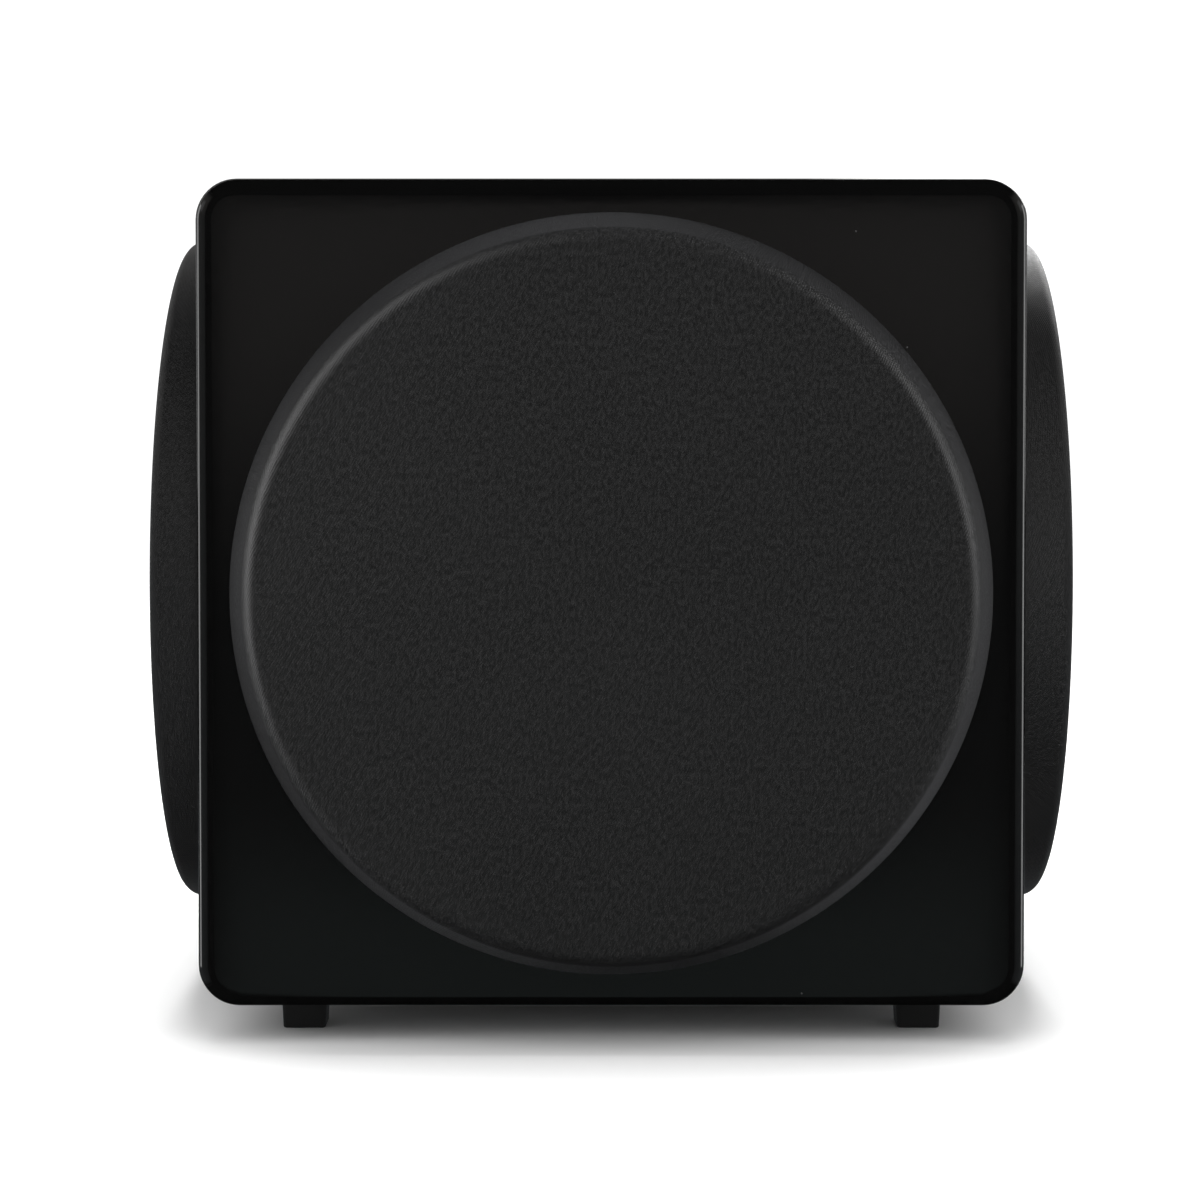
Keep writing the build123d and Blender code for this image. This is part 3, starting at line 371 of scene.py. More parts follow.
def moulded(name, colour, roughness=0.5, grain=900.0, depth=0.00004):
    """Moulded plastic or rubber: a fine even grain, faint flow marks and a little dust."""
    f = Finish(name)
    p = f.place()
    flow = f.noise(p, 22.0, 3.0)
    grains = f.noise(p, grain, 2.0, 0.6)
    dust = f.specks(p, 420.0, 0.12, 0.06)
    base = f.mixed((flow * 0.6 + grains * 0.4).held(), shade(colour, 0.75), shade(colour, 1.3))
    f.set(Base_Color=f.mixed(dust * 0.5, base, shade(colour, 4.0)))
    f.set(Roughness=roughness * (0.8 + flow * 0.4) + dust * 0.1)
    f.set(Normal=f.bump(grains, depth, 0.6))
    return f.material


def powder_coat(name, colour):
    """A cast part's coating: small soft lumps with a satin shine."""
    f = Finish(name, Metallic=0.15)
    p = f.place()
    lumps = f.noise(p, 650.0, 1.0)
    rub = f.noise(p, 35.0, 5.0, 0.65)
    f.set(Base_Color=f.mixed(rub, shade(colour, 0.8), shade(colour, 1.35)))
    f.set(Roughness=0.38 + rub * 0.2)
    f.set(Normal=f.bump(lumps, 0.00012, 0.7))
    return f.material


def worked_metal(name, colour, roughness, along, metallic=1.0):
    """Metal with fine tool lines; along is how far they stretch in x, y and z."""
    f = Finish(name, Metallic=metallic)
    p = f.place()
    lines = f.noise(f.stretched(p, along), 1.0, 3.0, 0.6)
    stain = f.noise(p, 28.0, 4.0)
    f.set(Base_Color=f.mixed((lines * 0.5 + stain * 0.5).held(), shade(colour, 0.7), shade(colour, 1.25)))
    f.set(Roughness=roughness * (0.7 + lines * 0.5 + stain * 0.2))
    f.set(Normal=f.bump(lines, 0.00003, 0.5))
    return f.material


def bare_board():
    """Fibreboard: pressed flecks in a pale brown ground."""
    f = Finish("bare fibreboard", Roughness=0.85)
    p = f.place()
    fibres = f.noise(f.stretched(p, (600.0, 2400.0, 900.0)), 1.0, 3.0, 0.7)
    flecks = f.specks(p, 700.0, 0.3, 0.3)
    ground = f.mixed(fibres, (0.27, 0.18, 0.1), (0.5, 0.37, 0.23))
    f.set(Base_Color=f.mixed(flecks * 0.6, ground, (0.2, 0.12, 0.06)))
    f.set(Normal=f.bump(fibres, 0.0001, 0.6))
    return f.material


def pressed_cone(colour):
    """Pulp with random fibres and shallow pressed rings, sealed with a thin satin coat."""
    f = Finish("pressed pulp cone", Specular_IOR_Level=0.4)
    p = f.place()
    fibres = f.noise(f.stretched(p, (500.0, 900.0, 1400.0)), 1.0, 4.0, 0.7)
    crossing = f.noise(f.stretched(p, (1500.0, 700.0, 450.0)), 1.0, 4.0, 0.7)
    pulp = (fibres * 0.5 + crossing * 0.5).held()
    f.set(Base_Color=f.mixed(pulp.step(0.3, 0.7), shade(colour, 0.7), shade(colour, 1.7)))
    f.set(Roughness=0.62 + pulp * 0.2)
    f.set(Normal=f.bump(pulp, 0.00025, 0.7))
    return f.material


def spider_weave():
    """Treated cotton: a plain weave in amber resin, with painted shade darkening the dips where the threads
    pass under.
    """
    f = Finish("treated cotton", Roughness=0.75)
    x, _, z = f.axes(f.place())
    warp = (x * (math.tau / 0.0011)).sine() * 0.5 + 0.5
    weft = (z * (math.tau / 0.0011)).sine() * 0.5 + 0.5
    over = warp * weft + (1 - warp) * (1 - weft)
    # painted shade: colour darkens where the weave's height dips, between the crossing threads
    f.set(Base_Color=f.mixed(over, (0.24, 0.12, 0.03), (0.55, 0.33, 0.11)))
    f.set(Normal=f.bump(over, 0.0002, 0.8))
    return f.material


def closed_foam():
    f = Finish("closed-cell foam", Roughness=0.95)
    p = f.place()
    pore_relief_and_shade, tone = f.cells(p, 1100.0)
    # painted shade: colour darkens into each cell's pore, following the same pits as the bump
    f.set(Base_Color=f.mixed(pore_relief_and_shade, (0.01, 0.01, 0.01), (0.05, 0.05, 0.05)))
    f.set(Roughness=0.88 + tone * 0.1)
    f.set(Normal=f.bump(pore_relief_and_shade, 0.0003, 0.8))
    return f.material


def ground_ferrite():
    f = Finish("ground ferrite", Specular_IOR_Level=0.5)
    p = f.place()
    chips = f.specks(p, 350.0, 0.25, 0.2)
    grain = f.noise(p, 500.0, 3.0)
    f.set(Base_Color=f.mixed(grain, (0.035, 0.035, 0.04), (0.075, 0.075, 0.08)))
    f.set(Roughness=0.5 + grain * 0.2 + chips * 0.2)
    f.set(Normal=f.bump(grain - chips * 0.5, 0.00012, 0.6))
    return f.material


def copper_winding():
    """Round wire wound close along the coil's length, which is the Y axis, with painted shade darkening the
    grooves between turns.
    """
    f = Finish("copper winding", Metallic=1.0)
    p = f.place()
    _, y, _ = f.axes(p)
    turn_relief_and_groove_shade = abs((y * (math.pi / 0.0006)).sine())
    tint = f.noise(p, 90.0, 2.0)
    # painted shade: colour darkens in the grooves between the wire's turns, following the bump's profile
    f.set(Base_Color=f.mixed(turn_relief_and_groove_shade * 0.7 + tint * 0.3, (0.3, 0.1, 0.04), (0.83, 0.38, 0.19)))
    f.set(Roughness=0.28 + tint * 0.15)
    f.set(Normal=f.bump(turn_relief_and_groove_shade, 0.0002, 0.8))
    return f.material


def circuit_board():
    """Solder mask with paler tracks and tinned pads."""
    f = Finish("solder mask", Specular_IOR_Level=0.6)
    x, _, z = f.axes(f.place())
    lane = (x / 0.0042).whole()
    shift = (lane * 12.9898).sine() * 37.7
    track = ((x / 0.0042).wrapped() > 0.62) * ((z / 0.03 + shift).wrapped() < 0.8)
    pads = ((x / 0.0084).wrapped() - 0.5) ** 2.0 + ((z / 0.0084).wrapped() - 0.5) ** 2.0
    pad = pads < 0.02
    green = f.mixed(track, (0.008, 0.075, 0.03), (0.02, 0.17, 0.07))
    f.set(Base_Color=f.mixed(pad, green, (0.72, 0.72, 0.7)))
    f.set(Metallic=pad, Roughness=0.32 + pad * 0.1)
    f.set(Normal=f.bump(track * 0.5 + pad, 0.00008, 0.8))
    return f.material


def taped_ring(middle):
    """Yellow tape wound round a ring: overlapping bands that fan out from its middle."""
    f = Finish("taped winding", Specular_IOR_Level=0.5)
    p = f.place()
    x, _, z = f.axes(p)
    around = (z - middle.z).angle_from(x - middle.x)
    band = (around * (42 / math.tau)).wrapped()
    wear = f.noise(p, 120.0, 3.0)
    f.set(Base_Color=f.mixed(band.step(0.0, 0.25) * 0.7 + wear * 0.3, (0.28, 0.19, 0.02), (0.66, 0.5, 0.07)))
    f.set(Roughness=0.3 + wear * 0.2)
    f.set(Normal=f.bump(band, 0.0003, 0.6))
    return f.material


def sleeved_can():
    """A dark shrink sleeve with a pale stripe down one side."""
    f = Finish("shrink sleeve", Roughness=0.35)
    p = f.place()
    x, y, _ = f.axes(p)
    stripe = ((x / 0.028).wrapped() > 0.82) * ((y / 0.004).wrapped() > 0.35)
    tone = f.noise(p, 60.0, 3.0)
    dark = f.mixed(tone, (0.01, 0.012, 0.03), (0.02, 0.026, 0.06))
    f.set(Base_Color=f.mixed(stripe, dark, (0.5, 0.5, 0.48)))
    f.set(Normal=f.bump(tone, 0.00005, 0.4))
    return f.material


def lens_blue():
    f = Finish("blue lens", Roughness=0.12, Transmission_Weight=0.25, Emission_Strength=0.5)
    glow = f.noise(f.place(), 700.0, 2.0)
    f.set(Base_Color=f.mixed(glow, (0.03, 0.12, 0.6), (0.1, 0.3, 0.9)))
    f.set(Emission_Color=f.mixed(glow, (0.02, 0.12, 0.7), (0.1, 0.35, 1.0)))
    return f.material


def printed_ink(colour):
    f = Finish("panel print", Roughness=0.6)
    grain = f.noise(f.place(), 2500.0, 2.0)
    f.set(Base_Color=f.mixed(grain, shade(colour, 0.75), colour))
    return f.material


def studio_floor():
    f = Finish("pale studio floor", Specular_IOR_Level=0.2)
    p = f.place()
    tone = f.noise(p, 3.0, 3.0)
    f.set(Base_Color=f.mixed(tone, (0.86, 0.86, 0.86), (0.9, 0.9, 0.9)))
    f.set(Roughness=0.85 + tone * 0.1)
    f.set(Normal=f.bump(f.noise(p, 300.0), 0.0002, 0.2))
    return f.material


# ---------------------------------------------------------------- mesh building


class Side:
    """One face of the cabinet: where its driver's axis leaves it, and its outward and right-hand ways."""

    def __init__(self, name, outward, across):
        self.name = name
        self.outward = Vector(outward)
        self.across = Vector(across)
        self.up = self.outward.cross(self.across)
        shell = [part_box(panel) for panel in ("front_baffle", "rear_panel")]
        low, high = shell[0][0], shell[1][1]
        middle = (low + high) / 2
        half = (high.x - low.x) / 2
        self.origin = middle + self.outward * half

    def point(self, right, up, height):
        return self.origin + self.across * right + self.up * up + self.outward * height

    def heights(self, node):
        """How far a node reaches below and above this face."""
        low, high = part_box(node)
        ends = sorted((corner - self.origin).dot(self.outward) for corner in (low, high))
        return ends

    def radius(self, node):
        """The radius of a round node about this face's axis."""
        low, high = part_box(node)
        return abs((high - low).dot(self.across)) / 2


FRONT = Side("front", (0, -1, 0), (1, 0, 0))
LEFT = Side("left", (-1, 0, 0), (0, -1, 0))
RIGHT = Side("right", (1, 0, 0), (0, 1, 0))
REAR = Side("rear", (0, 1, 0), (-1, 0, 0))


def make_piece(name, vertices, faces, material, sharp=40.0):
    """A new mesh piece, smooth except along edges sharper than the given angle in degrees."""
    mesh = bpy.data.meshes.new(name)
    mesh.from_pydata([tuple(v) for v in vertices], [], faces)
    mesh.validate()
    mesh.polygons.foreach_set("use_smooth", [True] * len(mesh.polygons))
    mesh.set_sharp_from_angle(angle=math.radians(sharp))
    piece = bpy.data.objects.new(name, mesh)
    bpy.context.scene.collection.objects.link(piece)
    mesh.materials.append(material)
    return piece


def turned(side, outline, steps):
    """Vertices and faces of a closed outline of (radius, height) points turned about a side's axis."""
    vertices, rings = [], []
    for radius, height in outline:
        if radius < 1e-7:
            rings.append([len(vertices)] * steps)
            vertices.append(side.point(0, 0, height))
            continue
        rings.append(list(range(len(vertices), len(vertices) + steps)))
        for k in range(steps):
            angle = math.tau * k / steps
            vertices.append(side.point(radius * math.cos(angle), radius * math.sin(angle), height))
    faces = []
    for ring, following in zip(rings, rings[1:] + rings[:1]):
        for k in range(steps):
            n = (k + 1) % steps
            corners = [ring[k], following[k], following[n], ring[n]]
            unique = list(dict.fromkeys(corners))
            if len(unique) > 2:
                faces.append(unique)
    return vertices, faces


def arc(middle, radii, start, end, steps):
    """Points along an elliptical arc, from start to end in degrees."""
    points = []
    for k in range(steps + 1):
        angle = math.radians(start + (end - start) * k / steps)
        points.append((middle[0] + radii[0] * math.cos(angle), middle[1] + radii[1] * math.sin(angle)))
    return points


def dress(material, *nodes):
    """Give CAD nodes a finish."""
    for node in nodes:
        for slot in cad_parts[node].material_slots:
            slot.material = material


# ---------------------------------------------------------------- cabinet


class Skin:
    """Quads gathered by position, so that patches with matching edges join."""

    def __init__(self):
        self.index = {}
        self.vertices = []
        self.faces = []

    def vertex(self, point):
        key = tuple(round(c * 1e6) for c in point)
        if key not in self.index:
            self.index[key] = len(self.vertices)
            self.vertices.append(Vector(point))
        return self.index[key]

    def band(self, loop, following, closed=True):
        """A strip of quads between two rows of points."""
        count = len(loop)
        for k in range(count if closed else count - 1):
            n = (k + 1) % count
            corners = [self.vertex(p) for p in (loop[k], loop[n], following[n], following[k])]
            unique = list(dict.fromkeys(corners))
            if len(unique) > 2:
                self.faces.append(unique)

    def blend(self, loop, following, steps):
        """A flat patch between two loops, in even steps."""
        rows = [[a.lerp(b, s / steps) for a, b in zip(loop, following)] for s in range(steps + 1)]
        for row, after in zip(rows, rows[1:]):
            self.band(row, after)


STRAIGHT = 24        # steps along each straight side of the cabinet
BEND = 12            # steps round each rounded edge


def rounded_square(half, corner):
    """Points round a square with rounded corners, the same number whatever its size."""
    points = []
    for quarter in range(4):
        turn = math.pi / 2 * quarter
        cos, sin = math.cos(turn), math.sin(turn)
        flat = half - corner
        side = [(half, -flat + 2 * flat * k / STRAIGHT) for k in range(STRAIGHT)]
        bend = [(flat + corner * math.cos(a), flat + corner * math.sin(a))
                for a in (math.pi / 2 * k / BEND for k in range(BEND))]
        points += [(x * cos - z * sin, x * sin + z * cos) for x, z in side + bend]
    return points


def circle_like(points, radius):
    """A circle with one point in the direction of each given point."""
    return [(x * radius / math.hypot(x, z), z * radius / math.hypot(x, z)) for x, z in points]


def on_side(side, points, height):
    return [side.point(x, z, height) for x, z in points]


def side_border(flat_edge, flat):
    """Points round the flat of a side face, flat_edge from front to back and flat from top to bottom."""
    border = []
    for quarter in range(4):
        turn = math.pi / 2 * quarter
        cos, sin = round(math.cos(turn)), round(math.sin(turn))
        run, rise = (flat_edge, flat) if quarter % 2 == 0 else (flat, flat_edge)
        for k in range(STRAIGHT):
            along = -rise + 2 * rise * k / STRAIGHT
            border.append((run * cos - along * sin, run * sin + along * cos))
    return border


def cube_skin(skin, half, corner, edge, drop, hole_radius, rear_hole):
    """One closed cube of the cabinet, drop inside its outer face, open at its four mouths."""
    flat_edge = half - edge
    for end, mouth in ((FRONT, hole_radius), (REAR, None)):
        rows = []
        for k in range(BEND + 1):
            a = math.pi / 2 * k / BEND
            inset = edge * (1 - math.cos(a))
            height = -drop - edge * (1 - math.sin(a))
            rows.append(on_side(end, rounded_square(half - inset, corner - inset), height))
        for row, after in zip(rows, rows[1:]):
            skin.band(row, after)
        outline = rounded_square(half - edge, corner - edge)
        inner = circle_like(outline, mouth) if mouth else rounded_square(rear_hole, 0.001)
        skin.blend(rows[-1], on_side(end, inner, -drop), 6)
    flat = half - corner
    levels = [-flat_edge + 2 * flat_edge * k / STRAIGHT for k in range(STRAIGHT + 1)]
    ring = rounded_square(half, corner)
    length = STRAIGHT + BEND
    middle = FRONT.origin - FRONT.outward * FRONT_HALF
    for low, high in zip(levels, levels[1:]):
        for quarter in range(4):
            start = quarter * length + STRAIGHT
            pieces = [(start, BEND)]
            if quarter in (1, 3):
                pieces.append((quarter * length, STRAIGHT))
            for first, count in pieces:
                part = [ring[(first + k) % len(ring)] for k in range(count + 1)]
                rows = [[middle + Vector((x, y, z)) for x, z in part] for y in (low, high)]
                skin.band(*rows, closed=False)
    border = side_border(flat_edge, flat)
    mouth = circle_like(border, hole_radius)
    for side in (LEFT, RIGHT):
        skin.blend(on_side(side, border, -drop), on_side(side, mouth, -drop), 8)


low_corner, high_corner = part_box("front_baffle")
FRONT_HALF = (high_corner.x - low_corner.x) / 2


class SUB_OT_cabinet(bpy.types.Operator):
    """Builds the seamless lacquered cabinet and the rubber feet's finish"""

    bl_idname = "sub.cabinet"
    bl_label = "Cabinet"

    def execute(self, context):
        s = context.scene.sub_cabinet
        wall = 18 * MM
        recess_depth = 6 * MM
        recess = FRONT.radius("woofer_basket") + 0.5 * MM
        cutout = 118.5 * MM
        gap = (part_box("amp_housing")[1].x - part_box("amp_housing")[0].x) / 2 + 2 * MM
        skin = Skin()
        cube_skin(skin, FRONT_HALF, s.corner, s.edge, 0.0, recess, gap)
        cube_skin(skin, FRONT_HALF - wall, 2 * MM, 1 * MM, wall, cutout, gap)
        outline = rounded_square(FRONT_HALF - s.edge, s.corner - s.edge)
        steps = [(recess, 0.0), (recess, -recess_depth), (cutout, -recess_depth), (cutout, -wall)]
        rows = [on_side(FRONT, circle_like(outline, r), h) for r, h in steps]
        for row, after in zip(rows, rows[1:]):
            skin.band(row, after)
        border = side_border(FRONT_HALF - s.edge, FRONT_HALF - s.corner)
        for side in (LEFT, RIGHT):
            rows = [on_side(side, circle_like(border, r), h) for r, h in steps]
            for row, after in zip(rows, rows[1:]):
                skin.band(row, after)
        mouth = rounded_square(gap, 0.001)
        skin.band(on_side(REAR, mouth, 0.0), on_side(REAR, mouth, -wall))
        lacquer = piano_lacquer(s.lacquer, s.polish)
        shell = make_piece("cabinet_shell", skin.vertices, skin.faces, lacquer, sharp=30)
        weighted = shell.modifiers.new("even shading", "WEIGHTED_NORMAL")
        weighted.keep_sharp = True
        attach(shell, "cabinet")
        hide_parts("front_baffle", "rear_panel", "top_panel", "bottom_panel",
                    "left_panel", "right_panel")
        dress(moulded("foot rubber", (0.014, 0.014, 0.014), 0.62, 1200.0, 0.00006), "feet")
        dress(bare_board(), "window_brace")
        return {"FINISHED"}


# ---------------------------------------------------------------- grilles


class SUB_OT_grilles(bpy.types.Operator):
    """Stretches the knitted cloth over the three round grille frames"""

    bl_idname = "sub.grilles"
    bl_label = "Grilles"

    def execute(self, context):
        s = context.scene.sub_grille
        cloth = knitted_cloth(s.thread, s.rib)
        for side in (FRONT, LEFT, RIGHT):
            node = f"{side.name}_grille_cloth"
            foot, face = side.heights(node)
            rim = side.radius(node)
            outer, face_rings = self.skin_outline(s, foot, face, rim, 0.0)
            lengths = [0.0]
            for a, b in zip(outer, outer[1:]):
                lengths.append(lengths[-1] + math.dist(a, b))
            inner, _ = self.skin_outline(s, foot, face, rim, s.cloth)
            outline = outer + inner[::-1]
            vertices, faces = turned(side, outline, 256)
            piece = make_piece(f"{side.name}_cloth", vertices, faces, cloth, sharp=60)
            self.lay_weave(piece, side, outer, lengths, face_rings)
            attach(piece, f"{side.name}_grille")
            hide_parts(node)
        frame_plastic = moulded("grille frame plastic", (0.016, 0.016, 0.016), 0.48, 1400.0)
        dress(frame_plastic, *(f"{side.name}_grille_frame" for side in (FRONT, LEFT, RIGHT)))
        return {"FINISHED"}

    def skin_outline(self, s, foot, face, rim, inset):
        """One skin of the cloth in section, from its middle out over the shoulder and down the side."""
        steps = 60
        centre = face - s.crown - s.shoulder
        run, rise = rim - s.flat_radius, centre - foot
        slope = math.acos(s.shoulder / math.hypot(run, rise)) - math.atan2(rise, run)
        top = [(s.flat_radius * k / steps, face - inset - s.crown * (k / steps) ** 2)
               for k in range(steps)]
        bend = arc((s.flat_radius, centre), (s.shoulder - inset,) * 2, 90, math.degrees(slope), 24)
        end = (rim - inset / math.cos(slope), foot)
        side = [(bend[-1][0] + (end[0] - bend[-1][0]) * k / 16,
                 bend[-1][1] + (end[1] - bend[-1][1]) * k / 16) for k in range(1, 17)]
        return top + bend + side, steps

    def lay_weave(self, piece, side, outer, lengths, face_rings):
        """Writes where each point of the cloth lay while it was still flat."""
        flat = piece.data.attributes.new("weave", "FLOAT_VECTOR", "POINT")
        values = []
        for vertex in piece.data.vertices:
            away = vertex.co - side.origin
            right, up = away.dot(side.across), away.dot(side.up)
            radius = math.hypot(right, up)
            height = away.dot(side.outward)
            if radius <= outer[face_rings][0]:
                along = radius
            else:
                gaps = [math.hypot(radius - r, height - h) for r, h in outer]
                along = lengths[gaps.index(min(gaps))]
            stretch = along / radius if radius > 1e-6 else 1.0
            values += (right * stretch, up * stretch, 0.0)
        flat.data.foreach_set("vector", values)


# ---------------------------------------------------------------- drivers


def roll_outline(s, low, high, lip, landing):
    """A half-roll surround in section, with its glued lips: outer side first, then the inner."""
    wall = 1.2 * MM
    middle = (s.roll_inner + s.roll_outer) / 2
    bulge = (s.roll_outer - s.roll_inner) / 2
    rise = high - low - wall
    over = arc((middle, low + wall), (bulge, rise), 180, 0, 32)
    under = arc((middle, low), (bulge - wall, rise), 0, 180, 32)
    return ([(lip, low), (lip, low + wall)] + over
            + [(landing, low + wall), (landing, low)] + under)


def ripple_outline(inner, outer, lip, low, high):
    """A spider in section: concentric waves between the coil and its glued rim."""
    thick = 0.6 * MM
    swing = (high - low - thick) / 2
    middle = (low + high) / 2
    steps = 120
    top, bottom = [], []
    for k in range(steps + 1):
        t = k / steps
        r = inner + (outer - inner) * t
        height = middle + swing * math.sin(8 * math.tau * t) * min(1.0, 10 * t, 10 * (1 - t))
        top.append((r, height + thick / 2))
        bottom.append((r, height - thick / 2))
    rim = [(lip, middle + thick / 2), (lip, middle - thick / 2)]
    return top + rim + bottom[::-1]


def blend_radially(piece, side, moving, joined_inner, joined_outer, lag=1):
    """Lets a ring stretch between the moving part at its inner edge and the cabinet at its outer.

    A larger lag keeps the middle of the ring nearer to the cabinet, as a half roll's crest stays.
    """
    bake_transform(piece, "cabinet", moving, side.origin, side.origin + side.across * joined_outer)
    weights = piece.data.attributes["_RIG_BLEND"]
    values = []
    for vertex in piece.data.vertices:
        away = vertex.co - side.origin
        radius = math.hypot(away.dot(side.across), away.dot(side.up))
        t = (joined_outer - radius) / (joined_outer - joined_inner)
        t = max(0.0, min(1.0, t))
        values.append((t * t * (3 - 2 * t)) ** lag)
    weights.data.foreach_set("value", values)


class SUB_OT_drivers(bpy.types.Operator):
    """Builds the surrounds and the spider, and finishes the woofer and the radiators"""

    bl_idname = "sub.drivers"
    bl_label = "Drivers"

    def execute(self, context):
        s = context.scene.sub_driver
        rubber = moulded("surround rubber", s.rubber, 0.42, 1600.0, 0.00003)
        for side, node, body in ((FRONT, "woofer_surround", "woofer"),
                                 (LEFT, "left_radiator_surround", "left_radiator"),
                                 (RIGHT, "right_radiator_surround", "right_radiator")):
            low, high = side.heights(node)
            lip, landing = s.roll_inner - 7 * MM, side.radius(node)
            vertices, faces = turned(side, roll_outline(s, low, high, lip, landing), 192)
            piece = make_piece(f"{node}_skin", vertices, faces, rubber, sharp=50)
            blend_radially(piece, side, body, s.roll_inner, s.roll_outer, 2.5)
            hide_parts(node)
        low, high = FRONT.heights("spider")
        lip = FRONT.radius("spider")
        outline = ripple_outline(25.5 * MM, lip - 6.5 * MM, lip, low, high)
        vertices, faces = turned(FRONT, outline, 160)
        spider = make_piece("spider_skin", vertices, faces, spider_weave(), sharp=70)
        blend_radially(spider, FRONT, "woofer", 27 * MM, lip - 7 * MM)
        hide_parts("spider")
        dress(pressed_cone(s.pulp), "woofer_cone", "left_radiator_cone", "right_radiator_cone")
        dress(moulded("dust cap", (0.015, 0.015, 0.016), 0.3, 1800.0, 0.00002), "dust_cap")
        dress(copper_winding(), "voice_coil")
        coat = powder_coat("coated basket", (0.02, 0.02, 0.021))
        dress(coat, "woofer_basket", "left_radiator_frame", "right_radiator_frame")
        dress(closed_foam(), "driver_gaskets")
        steel = worked_metal("zinc-plated steel", (0.5, 0.5, 0.48), 0.3, (300, 2200, 300))
        dress(steel, "top_plate", "pole_yoke")
        dress(worked_metal("turned weight", (0.42, 0.42, 0.42), 0.28, (900, 60, 900)),
              "left_radiator_weight", "right_radiator_weight")
        dress(ground_ferrite(), "magnet")
        dress(moulded("terminal board", (0.09, 0.05, 0.025), 0.55), "woofer_terminal")
        dress(moulded("lead jacket", (0.25, 0.015, 0.012), 0.42), "speaker_lead")
        black_steel = worked_metal("blackened screw", (0.045, 0.045, 0.047), 0.34, (900, 900, 900))
        dress(black_steel, "driver_screws", "amp_screws", "foot_screws")
        dress(moulded("socket rubber", (0.02, 0.02, 0.02), 0.66), "grille_sockets")
        return {"FINISHED"}


# ---------------------------------------------------------------- amplifier


def ring_marks(side, centre, inner, outer, width, count, sweep, height):
    """Short printed strokes around a knob, over sweep degrees, as thin blocks."""
    vertices, faces = [], []
    for k in range(count):
        angle = math.radians(90 - sweep / 2 + sweep * k / (count - 1))
        along = (math.cos(angle), math.sin(angle))
        across = (-along[1], along[0])
        start = len(vertices)
        long = outer if k in (0, count // 2, count - 1) else (inner * 0.4 + outer * 0.6)
        for level in (0.0, height):
            for r, w in ((inner, -width), (long, -width), (long, width), (inner, width)):
                right = centre[0] + along[0] * r + across[0] * w / 2
                up = centre[1] + along[1] * r + across[1] * w / 2
                vertices.append(side.point(right, up, level))
        a = start
        faces += [(a + 3, a + 2, a + 1, a), (a + 4, a + 5, a + 6, a + 7)]
        faces += [(a + j, a + (j + 1) % 4, a + 4 + (j + 1) % 4, a + 4 + j) for j in range(4)]
    return vertices, faces


class SUB_OT_amplifier(bpy.types.Operator):
    """Finishes the amplifier panel and prints plain marks around its knobs"""

    bl_idname = "sub.amplifier"
    bl_label = "Amplifier"

    def execute(self, context):
        s = context.scene.sub_panel
        plate = worked_metal("brushed black plate", s.anodised, 0.36, (30, 900, 2600), 0.25)
        dress(plate, "amp_plate")
        fins = worked_metal("black fins", shade(s.anodised, 0.9), 0.4, (1800, 900, 40), 0.3)
        dress(fins, "amp_heatsink")
        dress(closed_foam(), "amp_gasket")
        case = moulded("black moulding", (0.026, 0.026, 0.026), 0.42)
        dress(case, "amp_housing", "control_cases", "rocker_case", "line_sockets", "power_inlet",
              "fuse_drawer")
        rocker = moulded("rocker", (0.02, 0.02, 0.02), 0.28, 2000.0, 0.00001)
        dress(rocker, "power_rocker")
        knobs = moulded("knob rubber", (0.024, 0.024, 0.024), 0.5, 1500.0)
        dress(knobs, "volume_knob", "crossover_knob", "phase_lever", "mode_lever")
        brass = worked_metal("gilt metal", (0.85, 0.6, 0.2), 0.2, (400, 1500, 400))
        dress(brass, "socket_inserts")
        bright = worked_metal("bright steel", (0.55, 0.55, 0.54), 0.25, (300, 1800, 300))
        dress(bright, "inlet_pins", "volume_shaft", "crossover_shaft")
        dress(circuit_board(), "amp_board")
        low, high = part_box("amp_transformer")
        dress(taped_ring((low + high) / 2), "amp_transformer")
        dress(sleeved_can(), "amp_capacitors")
        dress(lens_blue(), "status_light")
        ink = printed_ink(s.print_colour)
        face = REAR.heights("amp_plate")[1]
        for knob in ("volume_knob", "crossover_knob"):
            low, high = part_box(knob)
            middle = (low + high) / 2 - REAR.origin
            centre = (middle.dot(REAR.across), middle.dot(REAR.up))
            r = (high.x - low.x) / 2
            vertices, faces = ring_marks(REAR, centre, r + 3 * MM, r + 6 * MM, 0.7 * MM,
                                         s.ticks, 300, 0.05 * MM)
            vertices = [v + REAR.outward * face for v in vertices]
            marks = make_piece(f"{knob}_marks", vertices, faces, ink, sharp=30)
            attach(marks, "cabinet")
        return {"FINISHED"}


# ---------------------------------------------------------------- stage


